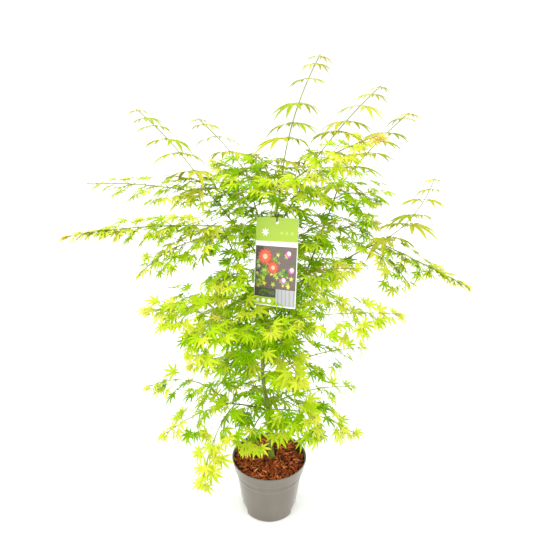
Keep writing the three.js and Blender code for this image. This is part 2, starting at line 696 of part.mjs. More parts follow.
function makeMix() {
  const random = seededRandom(FIRST_SEED);
  const sides = potInside(MIX_GAP).slice(0, -1);
  const collarSlope = (POT_RIM_RADIUS - POT_COLLAR_FOOT_RADIUS) / POT_COLLAR_HEIGHT;
  const collarRise = MIX_EDGE_HEIGHT - (POT_HEIGHT - POT_COLLAR_HEIGHT);
  const edge = POT_COLLAR_FOOT_RADIUS + collarSlope * collarRise - POT_WALL - 2 * MIX_GAP;
  const profile = [[0, POT_FLOOR + MIX_GAP], ...sides, [edge, MIX_EDGE_HEIGHT]];
  for (let ring = MIX_RINGS; ring >= 1; ring--) {
    const share = ring / (MIX_RINGS + 1);
    profile.push([edge * share, lerp(MIX_CROWN_HEIGHT, MIX_EDGE_HEIGHT, share * share)]);
  }
  profile.push([0, MIX_CROWN_HEIGHT]);
  const corners = profile.map(([radius, height]) => new THREE.Vector2(radius, height));
  const body = new THREE.LatheGeometry(corners, MIX_SIDES);
  body.rotateX(Math.PI / 2);
  const position = body.attributes.position;
  const inner = MIX_LEVEL_RINGS * edge / (MIX_RINGS + 1);
  const rows = profile.length;
  const lumps = new Map();
  for (let i = 0; i < position.count; i++) {
    const column = Math.floor(i / rows) % MIX_SIDES;
    const key = `${column} ${i % rows}`;
    const radius = Math.hypot(position.getX(i), position.getY(i));
    if (i % rows > sides.length && radius > inner) {
      if (!lumps.has(key)) {
        lumps.set(key, MIX_LUMP * (random() * 2 - 1));
      }
      position.setZ(i, position.getZ(i) + lumps.get(key));
    }
  }
  return solidOf(body);
}

// Assembly

const plant = new THREE.Group();

function addMesh(name, geometry, finish) {
  const material = new THREE.MeshStandardMaterial({ ...finish, metalness: 0 });
  const mesh = new THREE.Mesh(geometry, material);
  mesh.name = name;
  plant.add(mesh);
  return mesh;
}

addMesh("pot", geometryOf(makePot()), FINISHES.pot);
addMesh("potting_mix", geometryOf(makeMix()), FINISHES.potting_mix);

makeTrunk();
BOUGHS.forEach(makeBough);
limbs.forEach((limb, name) => {
  const isTrunk = name === "trunk";
  const meshName = isTrunk ? name : `bough_${name}`;
  addMesh(meshName, geometryOf(limb.solid), isTrunk ? FINISHES.trunk : FINISHES.bough);
});

const label = addMesh("plant_label", labelGeometry(), FINISHES.label);
label.position.copy(LABEL_CENTRE);
label.rotation.copy(labelTurn);
label.updateMatrixWorld();
const loop = addMesh("label_loop", loopGeometry(), FINISHES.loop);

// The pieces that foliage keeps clear of
const fixed = [...limbs.values()].map((limb) => boxed(limb.solid));
fixed.push(boxed(solidOf(label.geometry.clone().applyMatrix4(label.matrixWorld))));
fixed.push(boxed(solidOf(loop.geometry)));
plant.children.slice(0, 2).forEach((mesh) => fixed.push(boxed(solidOf(mesh.geometry))));

// Stems come first, then side twigs, then leaves, so that every mass has its frame
const masses = MASSES.map((row, index) => {
  const plan = growMass(row, FIRST_SEED + SEED_STEP * (index + 1));
  const { clearance, tipRadius } = limbs.get(row.on);
  const foot = Math.min(tipRadius, STEM_RADIUS);
  const radiusAt = (i) => lerp(foot, TWIG_TIP_RADIUS, i / (plan.stem.length - 1));
  const whole = solidOf(tubeAlong(plan.stem, radiusAt, TWIG_SIDES));
  return { row, plan, wood: [boxed(largestBody(whole.subtract(clearance)))], leaves: [] };
});

// The distance from a point to a mass's stem
function distanceToStem(point, stem) {
  let nearest = Infinity;
  const close = new THREE.Vector3();
  for (let i = 1; i < stem.length; i++) {
    new THREE.Line3(stem[i - 1], stem[i]).closestPointToPoint(point, true, close);
    nearest = Math.min(nearest, close.distanceTo(point));
  }
  return nearest;
}

function inOwnSpace(mass, point) {
  const own = distanceToStem(point, mass.plan.stem);
  return own < mass.row.spread && masses.every((other) => (
    other === mass || own < distanceToStem(point, other.plan.stem) + OTHER_SPACE_MARGIN
  ));
}

// What a mass must keep clear of: all that isn't its own
function strangersOf(mass) {
  const others = masses.filter((other) => other !== mass);
  return [...fixed, ...others.flatMap((other) => [...other.wood, ...other.leaves])];
}

for (const mass of masses) {
  const strangers = strangersOf(mass);
  for (const twig of mass.plan.twigs) {
    const radiusAt = (i) => lerp(TWIG_RADIUS, TWIG_TIP_RADIUS, i / (twig.path.length - 1));
    const piece = boxed(solidOf(tubeAlong(twig.path, radiusAt, TWIG_SIDES)));
    const tip = twig.path.at(-1);
    if (inOwnSpace(mass, tip) && !hidesLabel(tip) && !touchesAny(piece, strangers, LEAF_GAP)) {
      twig.piece = piece;
      mass.wood.push(piece);
    }
  }
}

for (const mass of masses) {
  const strangers = strangersOf(mass);
  const blades = [];
  for (const leaf of mass.plan.leaves) {
    const carrier = leaf.twig ? leaf.twig.piece : mass.wood[0];
    const outline = leafOutline(leaf.reach).map((corner) => corner.applyMatrix4(leaf.matrix));
    const middle = new THREE.Vector3(LEAF_STALK + MIDDLE_OF_BLADE * leaf.reach, 0, 0);
    middle.applyMatrix4(leaf.matrix);
    if (!carrier || !inOwnSpace(mass, middle) || outline.some(hidesLabel)) {
      continue;
    }
    const whole = boxed(solidOf(leafGeometry(leaf.reach, true).applyMatrix4(leaf.matrix)));
    const blade = boxed(solidOf(leafGeometry(leaf.reach, false).applyMatrix4(leaf.matrix)));
    const family = [...mass.wood.filter((piece) => piece !== carrier), ...blades];
    const rooted = whole.solid.intersect(carrier.solid).volume() > 0;
    if (rooted && !touchesAny(whole, strangers, LEAF_GAP) && !touchesAny(blade, family, LEAF_GAP)) {
      mass.leaves.push(whole);
      blades.push(blade);
    }
  }
}

for (const mass of masses) {
  const pieces = [...mass.wood, ...mass.leaves].map((piece) => piece.solid);
  const solid = largestBody(wasm.Manifold.union(pieces).simplify(FUSE_TOLERANCE));
  addMesh(`foliage_${mass.row.name}`, geometryOf(solid), FINISHES.mass);
}

export default plant;
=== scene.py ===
"""A young Japanese maple in a round nursery pot, with a plant label on a short loop.

Metres, +Z up. The origin is the middle of the pot's flat underside, +X is to the right and the
front of the plant faces -Y. Each operator makes one piece or one group of like pieces.
"""

import math
from dataclasses import dataclass
from functools import partial

import bpy
import numpy as np
from mathutils import Matrix, Vector, noise


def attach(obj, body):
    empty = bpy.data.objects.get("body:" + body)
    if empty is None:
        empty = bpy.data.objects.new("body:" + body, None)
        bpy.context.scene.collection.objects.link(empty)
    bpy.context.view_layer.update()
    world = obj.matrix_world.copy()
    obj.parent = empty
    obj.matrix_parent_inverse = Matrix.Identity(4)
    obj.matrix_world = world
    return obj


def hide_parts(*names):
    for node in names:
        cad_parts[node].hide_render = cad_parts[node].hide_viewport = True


bl_info = {
    "name": "Potted Japanese maple",
    "version": (1, 0, 0),
    "blender": (4, 5, 0),
    "location": "3D View > Sidebar > Maple",
    "description": "Dresses the packed frame of a young Japanese maple in a nursery pot",
    "category": "Object",
}

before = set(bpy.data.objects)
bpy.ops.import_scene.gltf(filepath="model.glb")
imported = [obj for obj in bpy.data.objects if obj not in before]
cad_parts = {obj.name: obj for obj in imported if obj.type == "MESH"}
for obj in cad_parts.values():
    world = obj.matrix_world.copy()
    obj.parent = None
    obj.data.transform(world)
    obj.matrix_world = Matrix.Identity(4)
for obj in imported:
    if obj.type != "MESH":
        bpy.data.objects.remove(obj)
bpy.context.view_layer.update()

MM = 0.001
UP = Vector((0, 0, 1))


def paint(red, green, blue):
    """A colour given as it shows on a screen, from 0 to 255, as Blender's linear values."""
    shares = [value / 255 for value in (red, green, blue)]
    return tuple(s / 12.92 if s <= 0.04045 else ((s + 0.055) / 1.055) ** 2.4 for s in shares)


# Trunk: centreline in millimetres, then its radius at a few heights, with root flare and graft knob
TRUNK_ROUTE = [
    (6, 1, 120),
    (5, 0, 145),
    (-2, -5, 276),
    (-15, -12, 376),
    (-16, -22, 474),
    (-4, -42, 618),
    (14, -62, 794),
    (22, -64, 844),
]
TRUNK_GIRTH = [
    (120, 11.5),
    (146, 9.8),
    (158, 7.6),
    (180, 6.8),
    (236, 6.2),
    (254, 8.4),
    (270, 8.2),
    (290, 5.3),
    (376, 4.3),
    (474, 3.6),
    (618, 2.8),
    (794, 2.0),
    (844, 1.6),
]
TRUNK_FOOT = 138
GRAFT_HEIGHT = 262
TRUNK_POINTS = 260

# Boughs: name, height at which each leaves the trunk, bearing in degrees from +X towards +Y, rise
# above the horizontal at both ends, length, and radius at both ends, in millimetres
BOUGHS = [
    ("low_left", 283, 188, (26, 6), 110, (2.4, 1.3)),
    ("back_left_low", 388, 128, (40, 20), 205, (2.4, 1.3)),
    ("right_upper", 400, 350, (67, 73), 468, (2.6, 1.2)),
    ("back_right", 418, 46, (50, 32), 250, (2.4, 1.3)),
    ("front_right", 461, 304, (51, 31), 209, (2.2, 1.2)),
    ("front_left", 476, 238, (49, 29), 197, (2.2, 1.2)),
    ("right", 501, 10, (54, 20), 357, (2.3, 1.2)),
    ("back", 522, 86, (50, 42), 285, (2.2, 1.2)),
    ("left", 545, 185, (65, 69), 233, (2.2, 1.3)),
    ("left_upper", 661, 156, (50, 46), 219, (1.9, 1.2)),
    ("back_left", 702, 117, (44, 59), 203, (1.7, 1.1)),
    ("crown_right", 746, 22, (56, 60), 187, (1.6, 1.1)),
]

# Masses of foliage: name, the limb that each grows on, the height of the trunk or share of the
# bough where it starts, bearing, rise and length of its stem with the last leaf, how far from the
# stem it may spread, and how yellow its leaves are, from 0 for deep green to 1. The stems are as long
# as the solids', apart from back_high, whose leaves droop and would else stop short at the back
MASSES = [
    ("leader", "trunk", 844, 17, (86, 60), 278, 70, 0.66),
    ("shoot_right", "crown_right", 1, 16, (52, 40), 202, 70, 0.76),
    ("shoot_near", "trunk", 836, 322, (42, 18), 272, 90, 0.65),
    ("shoot_far_right", "right_upper", 1, 7, (54, 40), 216, 70, 0.76),
    ("crown_right", "right_upper", 0.95, 318, (40, -28), 130, 95, 0.3),
    ("crown_left", "trunk", 812, 183, (52, 18), 180, 90, 0.45),
    ("crown_middle", "trunk", 804, 110, (62, 8), 205, 95, 0.5),
    ("right_rising", "right", 1, 13, (28, 74), 188, 70, 0.65),
    ("right_drooping", "right", 0.96, 355, (-25, -27), 260, 46, 0.6),
    ("right_low", "right", 0.88, 340, (-20, -56), 150, 72, 0.6),
    ("right_centre", "right_upper", 0.78, 350, (24, 4), 139, 80, 0.5),
    ("left_long", "left", 1, 192, (6, -8), 346, 60, 0.7),
    ("left_hanging", "left", 0.9, 197, (5, -44), 230, 85, 0.55),
    ("upper_middle", "trunk", 690, 344, (50, 20), 184, 95, 0.4),
    ("shoot_left", "left_upper", 1, 166, (57, 38), 244, 70, 0.76),
    ("left_high", "left_upper", 0.95, 179, (14, -2), 285, 66, 0.62),
    ("shoot_back_left", "back_left", 1, 160, (52, 38), 172, 70, 0.74),
    ("front_left", "front_left", 1, 183, (15, -2), 176, 80, 0.65),
    ("front_left_low", "front_left", 0.85, 211, (-9, -49), 138, 80, 0.55),
    ("front_right", "front_right", 1, 8, (5, -8), 225, 66, 0.6),
    ("front_right_high", "trunk", 600, 330, (46, 6), 254, 72, 0.55),
    ("front_middle", "trunk", 505, 275, (51, 1), 218, 115, 0.35),
    ("low_left_high", "low_left", 1, 192, (65, -21), 236, 72, 0.45),
    ("low_left", "low_left", 0.88, 211, (9, -24), 200, 72, 0.55),
    ("low_left_front", "low_left", 0.76, 250, (16, -62), 250, 68, 0.6),
    ("low_right_back", "trunk", 297, 15, (23, -12), 250, 70, 0.35),
    ("low_right", "trunk", 285, 346, (15, -30), 245, 82, 0.6),
    ("low_right_front", "trunk", 318, 310, (30, -8), 195, 62, 0.45),
    ("front_yellow", "trunk", 440, 300, (50, -36), 205, 78, 0.68),
    ("front_base", "trunk", 290, 236, (0, -59), 145, 75, 0.55),
    ("right_middle", "trunk", 378, 12, (30, -4), 282, 80, 0.45),
    ("left_middle", "trunk", 540, 222, (52, 18), 181, 90, 0.5),
    ("back_high", "back", 1, 73, (49, 29), 192, 105, 0.45),
    ("back_reach", "back", 0.9, 150, (7, -32), 165, 105, 0.4),
    ("back_left_top", "back_left", 0.5, 166, (38, 4), 246, 90, 0.45),
    ("back_right_high", "back_right", 1, 70, (45, 10), 150, 105, 0.4),
    ("back_right", "back_right", 0.86, 50, (-10, -50), 140, 100, 0.35),
    ("back_left", "back_left_low", 1, 146, (22, -14), 190, 105, 0.45),
    ("back_middle", "back_left_low", 0.84, 98, (4, -34), 180, 100, 0.35),
    ("low_back", "trunk", 318, 93, (7, -32), 227, 95, 0.4),
    ("low_back_left", "trunk", 332, 123, (0, -39), 218, 95, 0.45),
    ("left_inner", "left", 0.5, 237, (22, -17), 118, 85, 0.45),
    ("left_lower", "trunk", 430, 206, (29, -11), 205, 82, 0.45),
]

# Growth rule, the same as the solids', carried to finer twigs. Angles are in degrees, zones and
# places are shares of a stem, and a row of three values is for the three heights of sprays
FIRST_SEED = 1501
SEED_STEP = 37
LIMB_STEP = 8 * MM
STEM_THICKEST = 2.1 * MM
SPRAY_HEIGHTS = (0.42, 0.68, 0.92)
STEP_SHARES = (1.22, 0.96, 1.0)
NODE_JITTER = 0.22
TIP_BUNCHING = 1.3
ROLL_STEP = 62
ROLL_JITTER = 18
LAST_PAIR_PLACE = 0.985
LAST_PAIR_SHARE = 0.99
LAST_PAIR_SIZE = 0.8

# Side twigs
TWIG_ZONE = 0.72
TWIG_ANGLE = 54
TWIG_TIP_ANGLE = 34
TWIG_ANGLE_JITTER = 9
TWIG_TAPER = 0.72
TWIG_SHORTEST = 18 * MM
TWIG_LENGTH_JITTER = 0.15
TWIG_SAG = 16
TWIG_PAIR_SETBACK = 0.03
TWIG_LATE_SIZE = 0.8
TWIG_LAST_PLACE = 0.99
TWIG_LAST_SIZE = 0.62

# Leaves on stems and twigs
LEAF_ANGLE = 55
LEAF_TIP_ANGLE = 44
LEAF_ANGLE_JITTER = 10
END_LEAF_ANGLE = 34
FULL_SIZE_ZONE = 0.45
LEAF_SIZE_JITTER = 0.16
LEAF_SIZES = (1.12, 1.0, 0.98)
LEAF_SAGS = (0.4, 0.24, 0.2)
LEAF_SAG_JITTER = 0.5
LEAF_LEVELLINGS = (0.9, 0.6, 0.35)
LEAF_TILTS = (1.1, 0.7, 0.35)
FLAT_JITTER = 0.28

# Narrow sprays: close pairs on short stalks, doubled nearly as far as the tip
NARROW_SPREAD = 61 * MM
NARROW_STEP_SHARE = 0.72
NARROW_TIP_ANGLE = 30
NARROW_STALK_SHARE = 0.45
DOUBLED_ZONE = 0.85
DOUBLED_SIZE = 0.9

# Shoots, the stems with more than a certain mean rise: large level leaves in pairs, with small
# ones crosswise on the lower half
SHOOT_RISE = 36
SHOOT_PAIR_STEP = 39 * MM
SHOOT_PAIR_BEARINGS = (28, -28)
SHOOT_BARE_TIP = 8 * MM
SHOOT_SAG = 0.12
SHOOT_SAG_JITTER = 0.6
SHOOT_STALK_SHARE = 0.36
SHOOT_FLAT_JITTER = 0.1
SHOOT_LEAF_SIZES = (2.15, 1.35)
SHOOT_LEAF_WIDTH = 0.78
SHOOT_AXIL_ZONE = 0.5
SHOOT_AXIL_SIZE = 0.6

# Leafy twigs along the boughs and the upper trunk, inside the crown
INNER_START = 0.14
INNER_TRUNK_HEIGHT = 0.42
INNER_TRUNK_STRIDE = 3
INNER_SPREAD = 72 * MM
INNER_STEP = 36 * MM
INNER_YELLOW = 0.4

# What is skipped: a twig or leaf too far into another mass's space, on the trunk or pot, or in
# front of the label or of the bare stretch of the trunk
OTHER_SPACE_MARGIN = 24 * MM
SHOOT_SPACE_MARGIN = 80 * MM
TWIG_LABEL_CLEARANCE = 6 * MM
LEAF_LABEL_OVERLAP = 1.5 * MM
TRUNK_CLEARANCE = 14 * MM
POT_CLEAR_HEIGHT = 158 * MM
POT_CLEAR_RADIUS = 104 * MM
OPEN_TRUNK = (0.285, 0.445)
OPEN_TRUNK_HALF_WIDTH = 12 * MM

# Thickness of twigs and stalks, and how few are red or half red
STEM_SIDES = 6
TWIG_SIDES = 5
STALK_SIDES = 3
STEM_TIP_RADIUS = 0.9 * MM
TWIG_RADII = (0.8 * MM, 0.42 * MM)
STALK_RADIUS = 0.42 * MM
RED_TWIG_CHANCE = 0.2
OLIVE_TWIG_CHANCE = 0.5
RED_STALK_ZONE = 0.8

# Tints: a leaf is yellower near the tip and darker near the crown's middle, partly for its older
# leaves and partly as painted shade of the inner crown, and the last leaves are golden
TINT_SEED = 9091
TINT_SPREAD = 0.7
TIP_TINT_ZONE = 0.5
TIP_YELLOWING = 0.4
# How much darker a leaf's tint is near the crown's middle: the older leaves' deeper green and painted
# shade
INNER_AGE_AND_SHADE_DARKENING = 0.2
INNER_RADIUS = 170 * MM
FIRST_TINT_EDGE = 0.08
TINT_STEP = 0.22
GOLD_HEIGHT = 0.7
GOLD_SHARE = 0.93
GOLD_CHANCE = 0.6
GOLD_YELLOW = 0.45
SHOOT_OLIVE_SHARE = 0.7
KIND_SCATTER = 997

# Label card: it hangs by a short loop from the trunk, with its right edge turned forwards
LABEL_CENTRE = Vector((0.012, -0.092, 0.695))
LABEL_YAW = 31
LABEL_LEAN = 12
LABEL_ROLL = 4.7
LABEL_THICKNESS = 0.8 * MM
LABEL_HOLE_RADIUS = 3.6 * MM
LABEL_HOLE_DROP = 9 * MM
LABEL_TURN = (
    Matrix.Rotation(math.radians(-LABEL_YAW), 3, "Z")
    @ Matrix.Rotation(math.radians(-LABEL_LEAN), 3, "X")
    @ Matrix.Rotation(math.radians(-LABEL_ROLL), 3, "Y")
)
VIEWER = Vector((-0.007, -1.118, 1.016))


# Sizes and colours that a user would change

def length_property(name, description, default):
    return bpy.props.FloatProperty(
        name=name, description=description, default=default, unit="LENGTH", precision=4)


def share_property(name, description, default):
    return bpy.props.FloatProperty(
        name=name, description=description, default=default, min=0, max=1, subtype="FACTOR")


def colour_property(name, description, red, green, blue):
    return bpy.props.FloatVectorProperty(
        name=name, description=description, default=paint(red, green, blue),
        size=3, min=0, max=1, subtype="COLOR")


class PotSettings(bpy.types.PropertyGroup):
    """The plastic nursery pot"""

    height: length_property("Height", "From the underside to the lip", 149 * MM)
    rim_radius: length_property("Rim radius", "Outside of the lip", 95 * MM)
    plastic: colour_property("Plastic", "Colour of the taupe plastic", 87, 76, 61)
    worn: colour_property("Rubbed plastic", "Colour where the plastic is dusty", 97, 87, 72)


class MulchSettings(bpy.types.PropertyGroup):
    """The chopped bark on top of the potting mix"""

    chips: bpy.props.IntProperty(
        name="Chips", description="Number of bark chips", default=1900, min=1)
    chip_length: length_property("Chip length", "Length of a middling chip", 9.5 * MM)
    # The soil colour is the dark mix's own and also painted shade in the gaps between the chips
    soil: colour_property("Soil", "Colour of the mix between the chips", 34, 14, 4)
    pale_bark: colour_property("Pale bark", "Colour of the palest chips", 242, 152, 92)
    red_bark: colour_property("Red bark", "Colour of most chips", 172, 80, 28)
    dark_bark: colour_property("Dark bark", "Colour of the darkest chips", 72, 28, 8)


class BarkSettings(bpy.types.PropertyGroup):
    """Trunk and boughs"""

    relief: share_property("Relief", "Depth of the bark's ridges, as a share of the radius", 0.07)
    green: colour_property("Green bark", "Colour of the smooth young bark", 82, 106, 12)
    pale: colour_property("Pale streaks", "Colour of the waxy streaks", 134, 152, 36)
    brown: colour_property("Brown bark", "Colour of the graft and the scars", 96, 80, 30)


class FoliageSettings(bpy.types.PropertyGroup):
    """Twigs and leaves"""

    leaf_reach: length_property("Leaf reach", "Middle lobe of a grown leaf", 35 * MM)
    leaf_stalk: length_property("Leaf stalk", "Stalk of a grown leaf", 20 * MM)
    pair_step: length_property("Pair step", "Distance between two pairs on a stem", 24 * MM)
    twig_pair_step: length_property("Twig pair step", "The same on a side twig", 22 * MM)
    tip_shrink: share_property("Tip shrink", "How much smaller the last leaves are", 0.44)
    deep: colour_property("Deep leaf", "Colour of the oldest leaves", 130, 178, 4)
    green: colour_property("Green leaf", "Colour of grown leaves", 164, 200, 16)
    lime: colour_property("Lime leaf", "Colour of young leaves", 192, 212, 42)
    fresh: colour_property("Fresh leaf", "Colour of the youngest leaves", 206, 213, 64)
    yellow: colour_property("Yellow leaf", "Colour of sunlit sprays", 212, 214, 74)
    gold: colour_property("Gold leaf", "Colour of unfolding leaves", 218, 200, 86)
    olive: colour_property("Olive leaf", "Colour of the level leaves of rising shoots", 186, 192, 50)
    leek: colour_property("Leek leaf", "Their darker colour", 158, 178, 32)
    stem: colour_property("Green stem", "Colour of green twigs and stalks", 144, 160, 54)
    red_stem: colour_property("Red stem", "Colour of pinkish-brown twigs", 150, 128, 66)


class LabelSettings(bpy.types.PropertyGroup):
    """The plant label and its loop"""

    width: length_property("Width", "Width of the card", 100 * MM)
    height: length_property("Height", "Height of the card", 185 * MM)
    corner: length_property("Corner", "Radius of the card's corners", 3 * MM)
    lime: colour_property("Lime", "Colour of the band", 160, 190, 22)
    card: colour_property("Card", "Colour of the bare card", 240, 242, 238)
    cord: colour_property("Cord", "Colour of the loop", 34, 34, 36)


class StageSettings(bpy.types.PropertyGroup):
    """Floor, light and camera"""

    floor_radius: length_property("Floor radius", "Size of the round floor", 14.0)
    floor: colour_property("Floor", "Colour of the floor", 253, 253, 253)
    surround: bpy.props.FloatProperty(
        name="Surround", description="Strength of the white surround", default=1.08, min=0)
    side_light: bpy.props.FloatProperty(
        name="Side light", description="How much stronger the surround is at both sides",
        default=1.6, min=0)
    softbox: bpy.props.FloatProperty(
        name="Softbox", description="Power of the large overhead light", default=14,
        min=0, unit="POWER")
    lens: bpy.props.FloatProperty(
        name="Lens", description="Focal length of the camera", default=35, unit="CAMERA")


# Small sums

def lerp(a, b, share):
    return a + (b - a) * share


def clamp(value, low, high):
    return max(low, min(high, value))


def seeded_numbers(seed):
    """A source of numbers from 0 to 1 that are the same on each run."""
    state = seed

    def next_number():
        nonlocal state
        state = state * 16807 % 2147483647
        return state / 2147483647

    return next_number


# Meshes: a curve's samples between two of its points, and the rise from which a path is steep

CURVE_SAMPLES = 40
STEEP = 0.9


class Shape:
    """Points and faces collected for one joined mesh, each face with its material's number."""

    def __init__(self):
        self.points = []
        self.faces = []
        self.slots = []

    def add(self, points, faces, slot=0):
        first = len(self.points)
        self.points.extend(points)
        self.faces.extend(tuple(first + corner for corner in face) for face in faces)
        self.slots.extend([slot] * len(faces))

    def make(self, name, materials, smooth=True):
        """Builds the object, in the scene and riding on the plant's one body."""
        mesh = bpy.data.meshes.new(name)
        mesh.from_pydata(self.points, [], self.faces)
        mesh.polygons.foreach_set("material_index", self.slots)
        mesh.polygons.foreach_set("use_smooth", [smooth] * len(self.faces))
        mesh.update()
        if mesh.validate():
            raise RuntimeError(f"{name} has broken faces")
        return add_piece(name, mesh, materials)


def add_piece(name, mesh, materials):
    for material in materials:
        mesh.materials.append(material)
    piece = bpy.data.objects.new(name, mesh)
    bpy.context.scene.collection.objects.link(piece)
    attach(piece, "root")
    return piece


def turns_round(count):
    """Evenly spaced angles round a circle, in radians."""
    return [2 * math.pi * k / count for k in range(count)]


def on_circle(radius, turn):
    return radius * math.cos(turn), radius * math.sin(turn)


def faces_between(rings, sides, first=0, closed=False):
    """The faces that join each ring of points to the next, and the last to the first if closed."""
    faces = []
    for ring in range(rings if closed else rings - 1):
        near = first + ring * sides
        far = first + (ring + 1) % rings * sides
        for k in range(sides):
            after = (k + 1) % sides
            faces.append((near + k, near + after, far + after, far + k))
    return faces


def tube(path, sides, radius_at):
    """Points round a path and the faces between them, closed at both ends. radius_at gives the
    radius at a point's number and a turn about the path."""
    points = []
    side = None
    last = len(path) - 1
    for i, centre in enumerate(path):
        ahead = (path[min(i + 1, last)] - path[max(i - 1, 0)]).normalized()
        if side is None:
            side = UP if abs(ahead.z) < STEEP else Vector((0, 1, 0))
        side = (side - ahead * side.dot(ahead)).normalized()
        cross = ahead.cross(side)
        for turn in turns_round(sides):
            outwards = side * math.cos(turn) + cross * math.sin(turn)
            points.append(centre + outwards * radius_at(i, turn))
    faces = faces_between(last + 1, sides)
    faces.append(tuple(reversed(range(sides))))
    faces.append(tuple(range(last * sides, (last + 1) * sides)))
    return points, faces


def thinning(foot, tip, path):
    """The radius along a path, for tube(): it changes evenly from foot to tip."""
    last = len(path) - 1
    return lambda i, turn: lerp(foot, tip, i / last)


def curve_through(points, count, closed=False):
    """Evenly spaced points on the centripetal Catmull-Rom curve through some points."""
    points = [np.array(point, float) for point in points]
    if closed:
        padded = [points[-1], *points, points[0], points[1]]
    else:
        before = 2 * points[0] - points[1]
        after = 2 * points[-1] - points[-2]
        padded = [before, *points, after]
    dense = []
    for p0, p1, p2, p3 in zip(padded, padded[1:], padded[2:], padded[3:]):
        t0 = 0
        t1 = t0 + np.linalg.norm(p1 - p0) ** 0.5
        t2 = t1 + np.linalg.norm(p2 - p1) ** 0.5
        t3 = t2 + np.linalg.norm(p3 - p2) ** 0.5
        for t in np.linspace(t1, t2, CURVE_SAMPLES, endpoint=False):
            a1 = (p0 * (t1 - t) + p1 * (t - t0)) / (t1 - t0)
            a2 = (p1 * (t2 - t) + p2 * (t - t1)) / (t2 - t1)
            a3 = (p2 * (t3 - t) + p3 * (t - t2)) / (t3 - t2)
            b1 = (a1 * (t2 - t) + a2 * (t - t0)) / (t2 - t0)
            b2 = (a2 * (t3 - t) + a3 * (t - t1)) / (t3 - t1)
            dense.append((b1 * (t2 - t) + b2 * (t - t1)) / (t2 - t1))
    dense.append(padded[-2])
    dense = np.array(dense)
    walked = np.concatenate([[0], np.cumsum(np.linalg.norm(np.diff(dense, axis=0), axis=1))])
    places = np.linspace(0, walked[-1], count + 1)
    even = np.stack([np.interp(places, walked, dense[:, k]) for k in range(3)], axis=1)
    return [Vector(point) for point in even]


# Materials

def mixed(first, second, share):
    return tuple(lerp(a, b, share) for a, b in zip(first, second))


def dimmed(colour, share):
    return tuple(share * value for value in colour)


def new_material(name, roughness=0.5):
    """A material, its node tree and its Principled shader."""
    material = bpy.data.materials.new(name)
    material.use_nodes = True
    shader = material.node_tree.nodes["Principled BSDF"]
    shader.inputs["Roughness"].default_value = roughness
    return material, material.node_tree, shader


def plain_material(name, colour, roughness, gloss=0.5):
    material, _, shader = new_material(name, roughness)
    shader.inputs["Base Color"].default_value = (*colour, 1)
    shader.inputs["Specular IOR Level"].default_value = gloss
    return material


def add_node(tree, kind, inputs):
    """A node whose inputs are set to constants or linked to the outputs of other nodes."""
    node = tree.nodes.new(kind)
    for key, value in inputs.items():
        if isinstance(value, bpy.types.NodeSocket):
            tree.links.new(value, node.inputs[key])
        else:
            node.inputs[key].default_value = value
    return node


def stretched_noise(tree, stretch, scale, detail):
    """Noise in the piece's own coordinates, stretched along each axis."""
    place = tree.nodes.new("ShaderNodeTexCoord").outputs["Object"]
    mapping = add_node(tree, "ShaderNodeMapping", {"Vector": place, "Scale": stretch})
    inputs = {"Vector": mapping.outputs["Vector"], "Scale": scale, "Detail": detail}
    return add_node(tree, "ShaderNodeTexNoise", inputs).outputs["Fac"]


def ramp_between(tree, driver, low_place, low_colour, high_place, high_colour):
    """A colour ramp over a pattern, between two colours at two places from 0 to 1."""
    ramp = add_node(tree, "ShaderNodeValToRGB", {"Fac": driver})
    low, high = ramp.color_ramp.elements
    low.position = low_place
    low.color = (*low_colour, 1)
    high.position = high_place
    high.color = (*high_colour, 1)
    return ramp.outputs["Color"]


def add_bump(tree, shader, height, distance, strength):
    inputs = {"Height": height, "Distance": distance, "Strength": strength}
    bump = add_node(tree, "ShaderNodeBump", inputs)
    tree.links.new(bump.outputs["Normal"], shader.inputs["Normal"])


def add_roughness(tree, shader, driver, low, high):
    span = add_node(tree, "ShaderNodeMapRange", {"Value": driver, "To Min": low, "To Max": high})
    tree.links.new(span.outputs["Result"], shader.inputs["Roughness"])


def grainy_material(name, roughness, scale, detail, ramp, bump=None):
    """A material whose colour, and relief if given, follow fine even noise."""
    material, tree, shader = new_material(name, roughness)
    grain = stretched_noise(tree, (1, 1, 1), scale, detail)
    tree.links.new(ramp_between(tree, grain, *ramp), shader.inputs["Base Color"])
    if bump:
        add_bump(tree, shader, grain, *bump)
    return material


def pot_plastic(sizes):
    """Moulded plastic: a faint mottle and sheen of dust over a fine grain."""
    material, tree, shader = new_material("pot_plastic")
    mottle = stretched_noise(tree, (1, 1, 0.5), 38, 5)
    colour = ramp_between(tree, mottle, 0.42, sizes.plastic, 0.72, sizes.worn)
    tree.links.new(colour, shader.inputs["Base Color"])
    add_roughness(tree, shader, mottle, 0.28, 0.42)
    shader.inputs["IOR"].default_value = 2.0
    shader.inputs["Sheen Weight"].default_value = 0.8
    shader.inputs["Sheen Roughness"].default_value = 0.3
    grain = stretched_noise(tree, (1, 1, 1), 1600, 2)
    add_bump(tree, shader, grain, 0.12 * MM, 0.35)
    return material


def tree_bark(name, base, streak, scar, threshold):
    """Smooth young bark with pale streaks along it and brown scars."""
    material, tree, shader = new_material(name)
    streaks = stretched_noise(tree, (1, 1, 0.09), 420, 6)
    skin = ramp_between(tree, streaks, 0.40, base, 0.62, streak)
    blotches = stretched_noise(tree, (1, 1, 0.6), 70, 4)
    inputs = {"Value": blotches, "From Min": threshold, "From Max": threshold + 0.14}
    share = add_node(tree, "ShaderNodeMapRange", inputs)
    mix = tree.nodes.new("ShaderNodeMix")
    mix.data_type = "RGBA"
    tree.links.new(share.outputs["Result"], mix.inputs[0])
    tree.links.new(skin, mix.inputs[6])
    mix.inputs[7].default_value = (*scar, 1)
    tree.links.new(mix.outputs[2], shader.inputs["Base Color"])
    add_roughness(tree, shader, streaks, 0.45, 0.75)
    add_bump(tree, shader, streaks, 0.4 * MM, 0.6)
    return material


# Limbs: the same paths as the solids'

